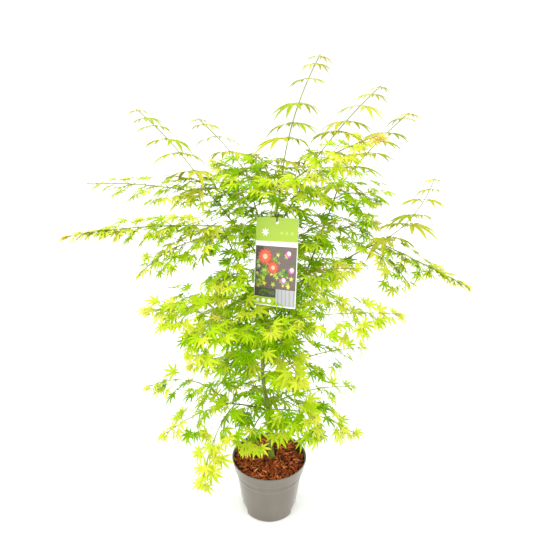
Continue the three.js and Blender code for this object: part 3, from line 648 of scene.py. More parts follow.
def limb_path(start, bearing, rise, length, step):
    """A path that keeps its bearing and bends evenly from one rise to another."""
    steps = max(2, round(length / step))
    turn = math.radians(bearing)
    path = [start.copy()]
    for i in range(steps):
        lift = math.radians(lerp(rise[0], rise[1], (i + 0.5) / steps))
        level = math.cos(lift)
        ahead = Vector((level * math.cos(turn), level * math.sin(turn), math.sin(lift)))
        path.append(path[-1] + ahead * (length / steps))
    return path


def on_path(path, share):
    """The point and the direction at a share of a path's length."""
    place = clamp(share, 0, 1) * (len(path) - 1)
    i = min(int(place), len(path) - 2)
    return path[i].lerp(path[i + 1], place - i), (path[i + 1] - path[i]).normalized()


def at_height(path, height):
    """The point of a rising path at a height."""
    above = next(i for i, point in enumerate(path) if point.z >= height - 1e-9)
    if above == 0:
        return path[0].copy()
    low = path[above - 1]
    high = path[above]
    return low.lerp(high, (height - low.z) / (high.z - low.z))


def trunk_radius(height):
    """The trunk's radius in metres at a height in metres."""
    heights = [row[0] * MM for row in TRUNK_GIRTH]
    radii = [row[1] * MM for row in TRUNK_GIRTH]
    return float(np.interp(height, heights, radii))


def limb_paths():
    """The path and the radius at both ends of the trunk and of each bough, by name."""
    route = [Vector(point) * MM for point in TRUNK_ROUTE]
    trunk = curve_through(route, TRUNK_POINTS)
    limbs = {"trunk": (trunk, (trunk_radius(trunk[0].z), trunk_radius(trunk[-1].z)))}
    for name, height, bearing, rise, length, radius in BOUGHS:
        start = at_height(trunk, height * MM)
        path = limb_path(start, bearing, rise, length * MM, LIMB_STEP / 2)
        limbs[name] = (path, (radius[0] * MM, radius[1] * MM))
    return limbs


# Pot: its outline in millimetres runs from the middle of the underside up the outside, over the lip
# and down the inside, and its notches in degrees and millimetres

POT_SIDES = 240
POT_HEIGHT = 149
POT_RIM_RADIUS = 95
POT_WALL = 2.4
POT_NOTCH_BEARINGS = (-20, 90, 200)
POT_NOTCH_HALF_WIDTH = 20
POT_NOTCH_TOP = 24
POT_NOTCH_TOP_RADIUS = 72
POT_NOTCH_FOOT_RADIUS = 58
POT_LIP_CREST = (94.2, 149.0)
POT_PROFILE = [
    (0, 3.0), (46, 3.0), (50, 2.4), (52, 0.6), (54, 0.0), (66.5, 0.0), (68.2, 0.5), (69.1, 1.8),
    (69.7, 5), (70.2, 9), (70.7, 13), (71.2, 17), (71.7, 21), (72.2, 25), (75.0, 47), (78.6, 75),
    (81.4, 97), (81.7, 99.4), (82.6, 100.2), (83.0, 101.4), (83.0, 104.4), (82.8, 106.2),
    (84.1, 117.6), (84.6, 119.2), (86.4, 120.0), (88.6, 120.2), (89.6, 121.0), (89.9, 122.6),
    (91.6, 131), (94.4, 145), (95.0, 147.0), (94.9, 148.2), POT_LIP_CREST, (93.4, 149.0),
    (92.8, 148.3), (92.5, 146.8), (91.4, 140.6), (88.4, 125.0), (83.6, 121.0), (81.9, 116.0),
    (72.2, 40), (69.8, 24), (68.0, 10), (60.0, 5.0), (0, 5.0),
]
WELD_DISTANCE = 0.01 * MM


def notched(radius, height, turn, wall):
    """A pot radius in millimetres, drawn in where a drain notch slopes towards the foot."""
    for bearing in POT_NOTCH_BEARINGS:
        away = turn - math.radians(bearing)
        across = abs(radius * math.sin(away))
        if math.cos(away) > 0 and across < POT_NOTCH_HALF_WIDTH and height < POT_NOTCH_TOP:
            depth = lerp(POT_NOTCH_FOOT_RADIUS, POT_NOTCH_TOP_RADIUS, height / POT_NOTCH_TOP)
            return min(radius, (depth - wall) / math.cos(away))
    return radius


class MakePot(bpy.types.Operator):
    """Turns the pot's outline into a moulded shell with a rolled lip, a ridge and drain notches"""

    bl_idname = "maple.make_pot"
    bl_label = "Pot"

    def execute(self, context):
        sizes = context.scene.maple_pot
        tall = sizes.height / POT_HEIGHT
        wide = sizes.rim_radius / POT_RIM_RADIUS
        crest = POT_PROFILE.index(POT_LIP_CREST)
        points = []
        for row, (radius, height) in enumerate(POT_PROFILE):
            wall = POT_WALL if row > crest else 0
            for turn in turns_round(POT_SIDES):
                shaped = notched(radius, height, turn, wall) * wide
                points.append((*on_circle(shaped, turn), height * tall))
        shape = Shape()
        shape.add(points, faces_between(len(POT_PROFILE), POT_SIDES))
        pot = shape.make("pot_shell", [pot_plastic(sizes)])
        weld(pot)
        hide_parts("pot")
        return {"FINISHED"}


def weld(piece):
    """Merges points that share a place, such as a turned outline's ends on its axis."""
    modifier = piece.modifiers.new("weld", "WELD")
    modifier.merge_threshold = WELD_DISTANCE
    graph = bpy.context.evaluated_depsgraph_get()
    welded = bpy.data.meshes.new_from_object(piece.evaluated_get(graph))
    piece.modifiers.clear()
    piece.data = welded


# Mulch: a bed of dark mix, darkened further as painted shade in the gaps, with chips of bark on it. A
# chip's width and thickness are shares of its length, and its rings are places along it with shares of
# its full girth

MULCH_EDGE_RADIUS = 90.8 * MM
MULCH_EDGE_HEIGHT = 139 * MM
MULCH_CROWN_HEIGHT = 144 * MM
MULCH_LUMP = 1.6 * MM
MULCH_LUMPS_PER_METRE = 55
BED_RINGS = 34
BED_SIDES = 120
BED_DEPTH = 2.2 * MM
BED_FOOT_HEIGHT = 128 * MM
BED_FOOT_RADIUS = 88.4 * MM
CHIP_SEED = 2417
CHIP_LENGTHS = (0.4, 1.9)
CHIP_SHORTNESS = 1.8
CHIP_WIDTHS = (0.16, 0.42)
CHIP_THICKNESSES = (0.1, 0.2)
CHIP_RINGS = ((-0.5, 0.55), (-0.2, 1.0), (0.22, 0.9), (0.5, 0.4))
CHIP_CORNERS = ((-1, -1), (1, -1), (1, 1), (-1, 1))
CHIP_RAGGEDNESS = 0.08
CHIP_CORNER_SHARES = (0.7, 1.1)
CHIP_PITCH = 26
CHIP_ROLL = 35
CHIP_LIFTS = (-0.8 * MM, 2.4 * MM)
CHIP_EDGE_GAP = 1 * MM
CHIP_TINT_CHANCES = (0.2, 0.44, 0.68, 0.86, 1)


def mulch_height(x, y):
    """The height of the mulch at a place."""
    out = min(1, math.hypot(x, y) / MULCH_EDGE_RADIUS)
    lump = MULCH_LUMP * noise.noise(Vector((x, y, 0)) * MULCH_LUMPS_PER_METRE)
    return lerp(MULCH_CROWN_HEIGHT, MULCH_EDGE_HEIGHT, out * out) + lump


def chip_shape(random, length):
    """A splinter of bark: four-cornered rings, thick in the middle and ragged at the ends."""
    width = length * lerp(*CHIP_WIDTHS, random())
    thickness = length * lerp(*CHIP_THICKNESSES, random())
    points = []
    for along, full in CHIP_RINGS:
        for y, z in CHIP_CORNERS:
            points.append(Vector((
                (along + CHIP_RAGGEDNESS * (random() - 0.5)) * length,
                0.5 * y * width * full * lerp(*CHIP_CORNER_SHARES, random()),
                0.5 * z * thickness * full * lerp(*CHIP_CORNER_SHARES, random()),
            )))
    faces = [(3, 2, 1, 0), (12, 13, 14, 15), *faces_between(len(CHIP_RINGS), len(CHIP_CORNERS))]
    return points, faces


class MakeMulch(bpy.types.Operator):
    """Heaps chopped bark on the potting mix, nearly level with the lip"""

    bl_idname = "maple.make_mulch"
    bl_label = "Mulch"

    def execute(self, context):
        sizes = context.scene.maple_mulch
        self.make_bed(sizes)
        self.make_chips(sizes)
        return {"FINISHED"}

    def make_bed(self, sizes):
        turns = turns_round(BED_SIDES)
        points = [(0, 0, mulch_height(0, 0))]
        for ring in range(1, BED_RINGS + 1):
            for turn in turns:
                x, y = on_circle(MULCH_EDGE_RADIUS * ring / BED_RINGS, turn)
                points.append((x, y, mulch_height(x, y) - BED_DEPTH))
        points += [(*on_circle(BED_FOOT_RADIUS, turn), BED_FOOT_HEIGHT) for turn in turns]
        faces = [(0, 1 + k, 1 + (k + 1) % BED_SIDES) for k in range(BED_SIDES)]
        for a, b, c, d in faces_between(BED_RINGS + 1, BED_SIDES, first=1):
            faces.append((a, d, c, b))
        faces.append(tuple(1 + BED_RINGS * BED_SIDES + k for k in reversed(range(BED_SIDES))))
        bed = Shape()
        bed.add(points, faces)
        # Painted shade: the mix between the chips is darker than its own colour, for the shade in the
        # gaps
        ramp = (0.38, dimmed(sizes.soil, 0.45), 0.62, sizes.soil)
        material = grainy_material("mulch_soil_and_gap_shade", 0.95, 320, 5, ramp, (1.5 * MM, 0.8))
        piece = bed.make("mulch_bed", [material])
        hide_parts("potting_mix")

    def make_chips(self, sizes):
        random = seeded_numbers(CHIP_SEED)
        brown = mixed(sizes.dark_bark, sizes.red_bark, 0.5)
        tan = mixed(sizes.red_bark, sizes.pale_bark, 0.5)
        tints = [
            plain_material("bark_chip_dark", sizes.dark_bark, 0.9, 0.25),
            plain_material("bark_chip_brown", brown, 0.88, 0.25),
            plain_material("bark_chip_red", sizes.red_bark, 0.85, 0.3),
            plain_material("bark_chip_tan", tan, 0.82, 0.3),
            plain_material("bark_chip_pale", sizes.pale_bark, 0.8, 0.3),
        ]
        chips = Shape()
        made = 0
        while made < sizes.chips:
            length = sizes.chip_length * lerp(*CHIP_LENGTHS, random() ** CHIP_SHORTNESS)
            radius = (MULCH_EDGE_RADIUS - CHIP_EDGE_GAP) * math.sqrt(random())
            x, y = on_circle(radius, 2 * math.pi * random())
            points, faces = chip_shape(random, length)
            turn = (
                Matrix.Rotation(2 * math.pi * random(), 3, "Z")
                @ Matrix.Rotation(math.radians(CHIP_PITCH) * (random() * 2 - 1), 3, "Y")
                @ Matrix.Rotation(math.radians(CHIP_ROLL) * (random() * 2 - 1), 3, "X")
            )
            centre = Vector((x, y, mulch_height(x, y) + lerp(*CHIP_LIFTS, random())))
            placed = [turn @ point + centre for point in points]
            slot = next(i for i, chance in enumerate(CHIP_TINT_CHANCES) if random() <= chance)
            if max(math.hypot(p.x, p.y) for p in placed) < MULCH_EDGE_RADIUS:
                chips.add(placed, faces, slot)
                made += 1
        piece = chips.make("mulch_chips", tints, smooth=False)


# Trunk and boughs: a scar row is the distance between ring scars and how far each stands out

TRUNK_SIDES = 28
TRUNK_SCARS = (47 * MM, 0.35 * MM)
TRUNK_SCARS_FROM = 0.29
FLARE_HEIGHT = 12 * MM
FLARE_LOBES = 3
FLARE_SWELL = 0.13
FLARE_TURN = 0.6
GRAFT_HALF_HEIGHT = 14 * MM
GRAFT_SWELL = 0.22
BOUGH_SIDES = 14
BOUGH_SCARS = (40 * MM, 0.28 * MM)
BOUGH_COLLAR = 0.6 * MM
BOUGH_COLLAR_LENGTH = 6 * MM
SCAR_HALF_WIDTH = 1.8 * MM
RIDGE_FINENESS = (3.2, 22)
KNOB_FINENESS = (2, 60)
CRACKLE_FINENESS = 700
RIDGE_SHARE = 0.75
CRACKLE_SHARE = 0.4


def noise_round(turn, height, fineness):
    """Noise on a limb's skin that meets itself after a full turn."""
    around, along = fineness
    return noise.noise(Vector((*on_circle(around, turn), height * along)))


def bark_relief(point, turn, height, depth):
    """The share by which bark stands out at a place round a limb: long ridges and fine crackle."""
    ridge = noise_round(turn, height, RIDGE_FINENESS)
    crackle = noise.noise(point * CRACKLE_FINENESS)
    return 1 + depth * (RIDGE_SHARE * ridge + CRACKLE_SHARE * crackle)


def ring_scar(distance, spacing, height):
    """How far a limb swells at a distance along it, with a ring scar at each spacing."""
    away = abs((distance / spacing + 0.5) % 1 - 0.5) * spacing
    return height * math.exp(-((away / SCAR_HALF_WIDTH) ** 2))


def trunk_shape(path, relief):
    """The radius along the trunk, for tube(): root flare, graft knob, ring scars and bark."""

    def radius_at(i, turn):
        point = path[i]
        flare = math.exp(-(point.z - TRUNK_FOOT * MM) / FLARE_HEIGHT)
        graft = math.exp(-(((point.z - GRAFT_HEIGHT * MM) / GRAFT_HALF_HEIGHT) ** 2))
        knob = noise_round(turn, point.z, KNOB_FINENESS)
        lobes = FLARE_SWELL * flare * math.cos(FLARE_LOBES * turn + FLARE_TURN)
        swell = 1 + lobes + GRAFT_SWELL * graft * knob
        scar = ring_scar(point.z, *TRUNK_SCARS) if point.z > TRUNK_SCARS_FROM else 0
        return trunk_radius(point.z) * swell * bark_relief(point, turn, point.z, relief) + scar

    return radius_at


def bough_shape(path, foot, tip, relief):
    """The radius along a bough, for tube(): an even taper with a collar at its foot."""
    last = len(path) - 1
    step = (path[1] - path[0]).length

    def radius_at(i, turn):
        along = i * step
        collar = BOUGH_COLLAR * math.exp(-along / BOUGH_COLLAR_LENGTH)
        radius = lerp(foot, tip, i / last) + collar
        scar = ring_scar(along, *BOUGH_SCARS)
        return radius * bark_relief(path[i], turn, along, relief) + scar

    return radius_at


class MakeTrunkAndBoughs(bpy.types.Operator):
    """Grows the trunk with its flare and graft, and each bough as one tapering limb"""

    bl_idname = "maple.make_trunk_and_boughs"
    bl_label = "Trunk and boughs"

    def execute(self, context):
        sizes = context.scene.maple_bark
        limbs = limb_paths()
        self.make_trunk(sizes, limbs)
        self.make_boughs(sizes, limbs)
        return {"FINISHED"}

    def make_trunk(self, sizes, limbs):
        path = [point for point in limbs["trunk"][0] if point.z >= TRUNK_FOOT * MM]
        shape = Shape()
        shape.add(*tube(path, TRUNK_SIDES, trunk_shape(path, sizes.relief)))
        material = tree_bark("trunk_bark", sizes.green, sizes.pale, sizes.brown, 0.60)
        trunk = shape.make("trunk_limb", [material])
        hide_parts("trunk")

    def make_boughs(self, sizes, limbs):
        shape = Shape()
        for row in BOUGHS:
            path, (foot, tip) = limbs[row[0]]
            shape.add(*tube(path, BOUGH_SIDES, bough_shape(path, foot, tip, sizes.relief)))
        green = mixed(sizes.green, sizes.brown, 0.35)
        material = tree_bark("young_bark", green, sizes.pale, sizes.brown, 0.56)
        boughs = shape.make("boughs", [material])
        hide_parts(*[f"bough_{row[0]}" for row in BOUGHS])


# Leaves, with a reach of 1. A lobe has its teeth as places along it and shares of its length to the
# side, with a tooth at every second corner. Bearings, lengths and notches go from the middle lobe
# to the outermost. A stalk's arch has places along it and how far it rises there
LOBE_TEETH = [
    (0.41, 0.108), (0.455, 0.088), (0.56, 0.112), (0.605, 0.086),
    (0.69, 0.082), (0.735, 0.060), (0.83, 0.046), (0.875, 0.028),
]
LOBE_RIB = [0.25, 0.41, 0.56, 0.69, 0.83]
SMALL_LOBE_TEETH = [(0.5, 0.13), (0.6, 0.095)]
SMALL_LOBE_RIB = [0.45]
OUTER_LOBE = 3
LOBE_BEARINGS = (0, 35, 73, 117)
LOBE_LENGTHS = (1.0, 0.92, 0.74, 0.4)
LOBE_BEARING_JITTER = 3
LOBE_LENGTH_SHARES = (0.93, 1.06)
NOTCH_REACHES = (0.24, 0.22, 0.17, 0.05)
NOTCH_REACH_SHARES = (0.92, 1.08)
NOTCH_RISE = 0.02
BASE_BEARING = 155
VEIN_HALF_WIDTH = 0.014
VEIN_TAPER = 0.7
VEIN_RISE = 0.006
LEAF_KINDS = 10
LEAF_FOLDS = (0.2, 0.6)
LEAF_DROOPS = (0.04, 0.36)
SHOOT_LEAF_DROOPS = (0.34, 0.5)
BLADE_MIDDLE = 0.35
BLADE_CORNERS = (
    (0, 0, 0), (1, 0, -0.3), (0.75, 0.53, -0.26), (0.75, -0.53, -0.26), (0.2, 0.7, -0.15),
    (0.2, -0.7, -0.15),
)
STALK_ARCH = ((0.35, 0.108), (0.7, 0.096))
STALK_OVERLAP = 0.06


def half_lobe(rib, edge, side):
    """The faces between half of a lobe's rib and its edge, both given as point numbers from the
    leaf's middle to the lobe's tip, which is the last point of both."""
    faces = []
    i = 0
    j = 0
    while i < len(rib) - 1 or j < len(edge) - 1:
        on_rib = i < len(rib) - 1 and (j == len(edge) - 1 or 2 * i <= j)
        third = rib[i + 1] if on_rib else edge[j + 1]
        if third != rib[i] and third != edge[j]:
            faces.append((rib[i], third, edge[j]))
        if on_rib:
            i += 1
        else:
            j += 1
    return faces if side > 0 else [face[::-1] for face in faces]


def leaf_kind(random, droops, squeeze=1):
    """One kind of leaf with a reach of 1: its points, faces, and which faces are veins. The
    middle lobe points along +X, its face looks along +Z, and its lobes fold and droop."""
    droop = lerp(*droops, random())
    fold = lerp(*LEAF_FOLDS, random())
    flat = [(0.0, 0.0)]
    raised = [0.0]
    blades = []
    veins = []

    def add_point(x, y, height):
        flat.append((x, y))
        raised.append(height)
        return len(flat) - 1

    def add_notch(bearing, reach):
        return add_point(*on_circle(reach, math.radians(bearing)), NOTCH_RISE * fold)

    lobes = []
    for number in range(-OUTER_LOBE, OUTER_LOBE + 1):
        bearing = math.copysign(LOBE_BEARINGS[abs(number)], number)
        bearing += LOBE_BEARING_JITTER * (random() * 2 - 1)
        length = LOBE_LENGTHS[abs(number)] * lerp(*LOBE_LENGTH_SHARES, random())
        lobes.append((abs(number), bearing, length))
    notches = [add_notch(-BASE_BEARING, NOTCH_REACHES[-1])]
    for (one, before, _), (other, after, _) in zip(lobes, lobes[1:]):
        reach = NOTCH_REACHES[max(one, other) - 1] * lerp(*NOTCH_REACH_SHARES, random())
        notches.append(add_notch(0.5 * (before + after), reach))
    notches.append(add_notch(BASE_BEARING, NOTCH_REACHES[-1]))
    for k, (number, bearing, length) in enumerate(lobes):
        is_small = number == OUTER_LOBE
        ahead = np.array(on_circle(1, math.radians(bearing)))
        left = np.array((-ahead[1], ahead[0]))
        tip = add_point(*(ahead * length), 0)
        ribs = {1: [0], -1: [0]}
        for place in SMALL_LOBE_RIB if is_small else LOBE_RIB:
            for side in (1, -1):
                half = VEIN_HALF_WIDTH * (1 - VEIN_TAPER * place)
                spot = ahead * place * length + left * side * half
                ribs[side].append(add_point(*spot, VEIN_RISE))
        for side in (1, -1):
            ribs[side].append(tip)
            edge = [notches[k + 1] if side > 0 else notches[k]]
            for place, width in SMALL_LOBE_TEETH if is_small else LOBE_TEETH:
                spot = (ahead * place + left * side * width) * length
                edge.append(add_point(*spot, fold * width * length))
            edge.append(tip)
            blades += half_lobe(ribs[side], edge, side)
        rungs = list(zip(ribs[-1], ribs[1]))
        for (a, d), (b, c) in zip(rungs, rungs[1:]):
            corners = list(dict.fromkeys((a, b, c, d)))
            veins += [(corners[0], *pair) for pair in zip(corners[1:], corners[2:])]
    flat = np.array(flat) * (1, squeeze)
    out = (flat ** 2).sum(axis=1)
    points = np.column_stack([flat, np.array(raised) - droop * out])
    return points, blades + veins, [0] * len(blades) + [1] * len(veins)


# Growth

def across_limb(ahead, roll):
    """The direction that lies level across a limb, rolled about it."""
    level = UP.cross(ahead)
    if level.length_squared < 1e-4:
        level = Vector((1, 0, 0))
    return Matrix.Rotation(math.radians(roll), 3, ahead) @ level.normalized()


def branch_off(ahead, across, degrees):
    turn = math.radians(degrees)
    return ahead * math.cos(turn) + across * math.sin(turn)


def by_height(height, amounts):
    """An amount that changes evenly between the lowest and the highest sprays."""
    return float(np.interp(height, SPRAY_HEIGHTS, amounts))


@dataclass
class Leaf:
    """A leaf: the number of its twig if it has one, its root, direction and upper side, the sizes
    of its blade and stalk, its place along the stem, and a drawn number that picks its looks."""

    twig: int
    root: Vector
    ahead: Vector
    face: Vector
    reach: float
    stalk: float
    share: float
    chance: float
    is_level: bool

    def frame(self):
        """The axes of the blade as a matrix, and the place where the stalk meets it."""
        up = (self.face - self.ahead * self.face.dot(self.ahead)).normalized()
        turn = Matrix((self.ahead, up.cross(self.ahead), up)).transposed()
        return turn, self.root + self.ahead * self.stalk

    def middle(self):
        return self.root + self.ahead * (self.stalk + BLADE_MIDDLE * self.reach)

    def corners(self):
        """Points near the blade's root and the tips of its lobes."""
        turn, blade_root = self.frame()
        return [blade_root + turn @ (Vector(corner) * self.reach) for corner in BLADE_CORNERS]

    def stalk_path(self):
        """The stalk leaves the twig, arches a little and runs on into the blade."""
        _, end = self.frame()
        path = [self.root]
        for place, lift in STALK_ARCH:
            path.append(self.root.lerp(end, place) + UP * (lift * self.stalk))
        path.append(end + self.ahead * (STALK_OVERLAP * self.reach))
        return path


class Spray:
    """What grows on one stem: paths of twigs with their radii, and leaves."""

    def __init__(self, seed, sizes):
        self.random = seeded_numbers(seed)
        self.sizes = sizes
        self.twigs = []
        self.kept_twigs = []
        self.leaves = []
        self.is_narrow = False
        self.is_shoot = False
        self.draws_stem = True

    def grow_along(self, path):
        """Short leafy twigs on the outer stretch of a limb, tinted darker near the crown's middle, partly
        as painted shade.
        """
        self.stem = path[round(INNER_START * (len(path) - 1)):]
        self.length = (self.stem[1] - self.stem[0]).length * (len(self.stem) - 1)
        self.spread = INNER_SPREAD
        self.yellow = INNER_YELLOW
        self.draws_stem = False
        self.grow_branch(INNER_STEP)

    def grow_mass(self, row, limbs):
        """A mass: its stem, side twigs and leaves."""
        sizes = self.sizes
        _, limb, at, bearing, rise, length, spread, self.yellow = row
        path, (_, limb_tip) = limbs[limb]
        on_trunk = limb == "trunk"
        start = at_height(path, at * MM) if on_trunk else on_path(path, at)[0]
        foot = trunk_radius(start.z) if on_trunk else limb_tip
        self.foot_radius = min(foot, STEM_THICKEST)
        self.length = length * MM
        self.spread = spread * MM
        self.is_narrow = self.spread < NARROW_SPREAD
        self.is_shoot = 0.5 * (rise[0] + rise[1]) > SHOOT_RISE
        last_leaf = (sizes.leaf_stalk + sizes.leaf_reach) * (1 - sizes.tip_shrink)
        bare_tip = SHOOT_BARE_TIP if self.is_shoot else last_leaf
        self.stem = limb_path(start, bearing, rise, self.length - bare_tip, LIMB_STEP)
        if self.is_shoot:
            self.grow_shoot()
        else:
            step_share = NARROW_STEP_SHARE if self.is_narrow else 1
            self.grow_branch(sizes.pair_step * by_height(start.z, STEP_SHARES) * step_share)
        point, ahead = on_path(self.stem, LAST_PAIR_PLACE)
        if self.is_shoot:
            size = SHOOT_LEAF_SIZES[1]
            self.add_level_pair(point, SHOOT_PAIR_BEARINGS[0], LAST_PAIR_SHARE, size)
            self.add_level_leaf(point, ahead, 1, LAST_PAIR_SIZE)
        else:
            self.add_pair(None, point, ahead, 0, END_LEAF_ANGLE, LAST_PAIR_SHARE, LAST_PAIR_SIZE)
            self.add_leaf(None, point, ahead, 1, 1)

    def either_way(self):
        """A number from -1 to 1."""
        return self.random() * 2 - 1

    def grown(self, share):
        """The size of a leaf at a share of the stem, from 1 down to the small last leaves."""
        late = clamp((share - FULL_SIZE_ZONE) / (1 - FULL_SIZE_ZONE), 0, 1)
        return 1 - self.sizes.tip_shrink * late * late

    def add_leaf(self, twig, point, heading, share, size):
        """A leaf that levels out and sags, except for the last one, which points on ahead."""
        sag = by_height(point.z, LEAF_SAGS) * (1 + LEAF_SAG_JITTER * self.either_way())
        direction = heading.copy()
        if share < 1:
            direction.z = direction.z * by_height(point.z, LEAF_LEVELLINGS) - sag
        outward = Vector((point.x, point.y, 0)).normalized()
        face = self.tilted(UP + outward * by_height(point.z, LEAF_TILTS), FLAT_JITTER)
        stalk_share = NARROW_STALK_SHARE if self.is_narrow else 1
        self.keep_leaf(twig, point, direction, face, share, size, stalk_share)

    def add_level_leaf(self, point, heading, share, size):
        """A leaf of a rising shoot: a short-stalked fan that droops a little along its length."""
        direction = Vector((heading.x, heading.y, 0)).normalized()
        direction.z = -SHOOT_SAG * (1 + SHOOT_SAG_JITTER * self.either_way())
        face = self.tilted(UP.copy(), SHOOT_FLAT_JITTER)
        self.keep_leaf(None, point, direction, face, share, size, SHOOT_STALK_SHARE)

    def tilted(self, face, jitter):
        """A leaf's upper side, turned a little either way."""
        face.x += jitter * self.either_way()
        face.y += jitter * self.either_way()
        return face

    def keep_leaf(self, twig, point, direction, face, share, size, stalk_share):
        """Adds a leaf of its height's and place's size to the spray."""
        size *= self.grown(share) * (1 + LEAF_SIZE_JITTER * self.either_way())
        size *= by_height(point.z, LEAF_SIZES)
        reach = self.sizes.leaf_reach * size
        stalk = self.sizes.leaf_stalk * size * stalk_share
        chance = self.random()
        ahead = direction.normalized()
        leaf = Leaf(twig, point, ahead, face, reach, stalk, share, chance, self.is_shoot)
        self.leaves.append(leaf)

    def add_pair(self, twig, point, ahead, roll, degrees, share, size=1):
        across = across_limb(ahead, roll)
        for hand in (1, -1):
            turned = hand * (degrees + LEAF_ANGLE_JITTER * self.either_way())
            self.add_leaf(twig, point, branch_off(ahead, across, turned), share, size)

    def add_twig(self, point, ahead, roll, hand, room, share):
        """A side twig with pairs of leaves along it and a last leaf at its end."""
        length = room * (1 + TWIG_LENGTH_JITTER * self.either_way())
        opened = lerp(TWIG_ANGLE, TWIG_TIP_ANGLE, share)
        turned = hand * (opened + TWIG_ANGLE_JITTER * self.either_way())
        heading = branch_off(ahead, across_limb(ahead, roll), turned)
        bearing = math.degrees(math.atan2(heading.y, heading.x))
        lift = math.degrees(math.asin(clamp(heading.z, -1, 1)))
        path = limb_path(point, bearing, (lift, lift - TWIG_SAG), length, LIMB_STEP)
        twig = len(self.twigs)
        self.twigs.append(path)
        step = self.sizes.twig_pair_step * by_height(point.z, STEP_SHARES)
        pairs = max(1, round(length / step))
        for pair in range(pairs):
            place = (pair + 1) / pairs - TWIG_PAIR_SETBACK
            spot, onward = on_path(path, place)
            is_end = pair == pairs - 1
            degrees = END_LEAF_ANGLE if is_end else LEAF_ANGLE
            turn = (ROLL_JITTER if is_end else ROLL_STEP) * self.either_way()
            self.add_pair(twig, spot, onward, turn, degrees, share, lerp(1, TWIG_LATE_SIZE, place))
        spot, onward = on_path(path, TWIG_LAST_PLACE)
        self.add_leaf(twig, spot, onward, share, TWIG_LAST_SIZE)

    def add_level_pair(self, point, bearing, share, size):
        """A pair of a rising shoot: its leaves point away from each other, nearly level."""
        for opposite in (0, 180):
            turn = math.radians(bearing + opposite + ROLL_JITTER * self.either_way())
            self.add_level_leaf(point, Vector((*on_circle(1, turn), 0)), share, size)

    def grow_shoot(self):
        """Level pairs up a rising shoot, each turned from the one below."""
        nodes = max(3, round(self.length / SHOOT_PAIR_STEP))
        for i in range(nodes):
            share = (i + 0.5 + NODE_JITTER * self.either_way()) / nodes
            point = on_path(self.stem, share)[0]
            bearing = SHOOT_PAIR_BEARINGS[i % 2]
            self.add_level_pair(point, bearing, share, lerp(*SHOOT_LEAF_SIZES, share))
            if share < SHOOT_AXIL_ZONE:
                self.add_level_pair(point, bearing + 90, share, SHOOT_AXIL_SIZE)

    def grow_branch(self, step):
        """Side twigs near the stem's foot and leaf pairs beyond them."""
        nodes = max(3, round(self.length / step))
        for i in range(nodes):
            even = (i + 0.5 + NODE_JITTER * self.either_way()) / nodes
            share = 1 - (1 - even) ** TIP_BUNCHING
            point, ahead = on_path(self.stem, share)
            roll = (i % 2) * ROLL_STEP + ROLL_JITTER * self.either_way()
            room = (self.spread - 0.5 * self.sizes.leaf_reach) * (1 - TWIG_TAPER * share)
            if share < TWIG_ZONE and room > TWIG_SHORTEST:
                for hand in (1, -1):
                    self.add_twig(point, ahead, roll, hand, room, share)
            else:
                tip_angle = NARROW_TIP_ANGLE if self.is_narrow else LEAF_TIP_ANGLE
                degrees = lerp(LEAF_ANGLE, tip_angle, share)
                self.add_pair(None, point, ahead, roll, degrees, share)
                if self.is_narrow and share < DOUBLED_ZONE:
                    self.add_pair(None, point, ahead, roll + 90, degrees, share, DOUBLED_SIZE)


def label_space(point):
    """A point in the label's own axes: across, forwards and up from its centre."""
    local = LABEL_TURN.transposed() @ (point - LABEL_CENTRE)
    return local.x, -local.y, local.z


def hides_label(point, sizes, clearance):
    """True if a point stands between the viewer and the label."""
    facing = LABEL_TURN @ Vector((0, -1, 0))
    sight = point - VIEWER
    depth = (LABEL_CENTRE - VIEWER).dot(facing) / sight.dot(facing)
    if depth < 1:
        return False
    across, _, up = label_space(VIEWER + sight * depth)
    return abs(across) < sizes.width / 2 + clearance and abs(up) < sizes.height / 2 + clearance


def hides_trunk(point, trunk):
    """True if a point stands between the viewer and the bare stretch of the trunk."""
    viewer = np.array(VIEWER)
    sight = np.array(point) - viewer
    depth = np.linalg.norm(sight)
    low, high = OPEN_TRUNK
    stretch = trunk[(trunk[:, 2] > low) & (trunk[:, 2] < high)] - viewer
    behind = stretch @ (sight / depth)
    aside = np.linalg.norm(stretch - np.outer(behind, sight / depth), axis=1)
    return bool(((behind > depth) & (aside < OPEN_TRUNK_HALF_WIDTH)).any())


def clear_of_pot(point):
    """True if a point is well above the mulch or outside the pot."""
    return point.z > POT_CLEAR_HEIGHT or math.hypot(point.x, point.y) > POT_CLEAR_RADIUS


def distance_to(line, point):
    """The least distance from a point to the points of a line."""
    return np.linalg.norm(line - np.array(point), axis=1).min()


class Spaces:
    """Which mass a point belongs to: the one whose stem is nearest, give or take a margin."""

    def __init__(self, sprays):
        self.stems = [np.array(spray.stem) for spray in sprays]
        self.spreads = [spray.spread for spray in sprays]

    def reach(self, point):
        """True if a point is within the reach of any mass."""
        return any(
            distance_to(stem, point) < spread for stem, spread in zip(self.stems, self.spreads))

    def holds(self, number, margin, point):
        """True if a point is in a mass's own space or less than the margin outside it."""
        away = [distance_to(stem, point) for stem in self.stems]
        own = away.pop(number)
        return own < self.spreads[number] and own < min(away) + margin


def inner_limbs(limbs):
    """The limbs that carry leafy twigs on the inside of the crown: the boughs and upper trunk."""
    paths = [path for name, (path, _) in limbs.items() if name != "trunk"]
    upper = [point for point in limbs["trunk"][0] if point.z > INNER_TRUNK_HEIGHT]
    return [*paths, upper[::INNER_TRUNK_STRIDE]]


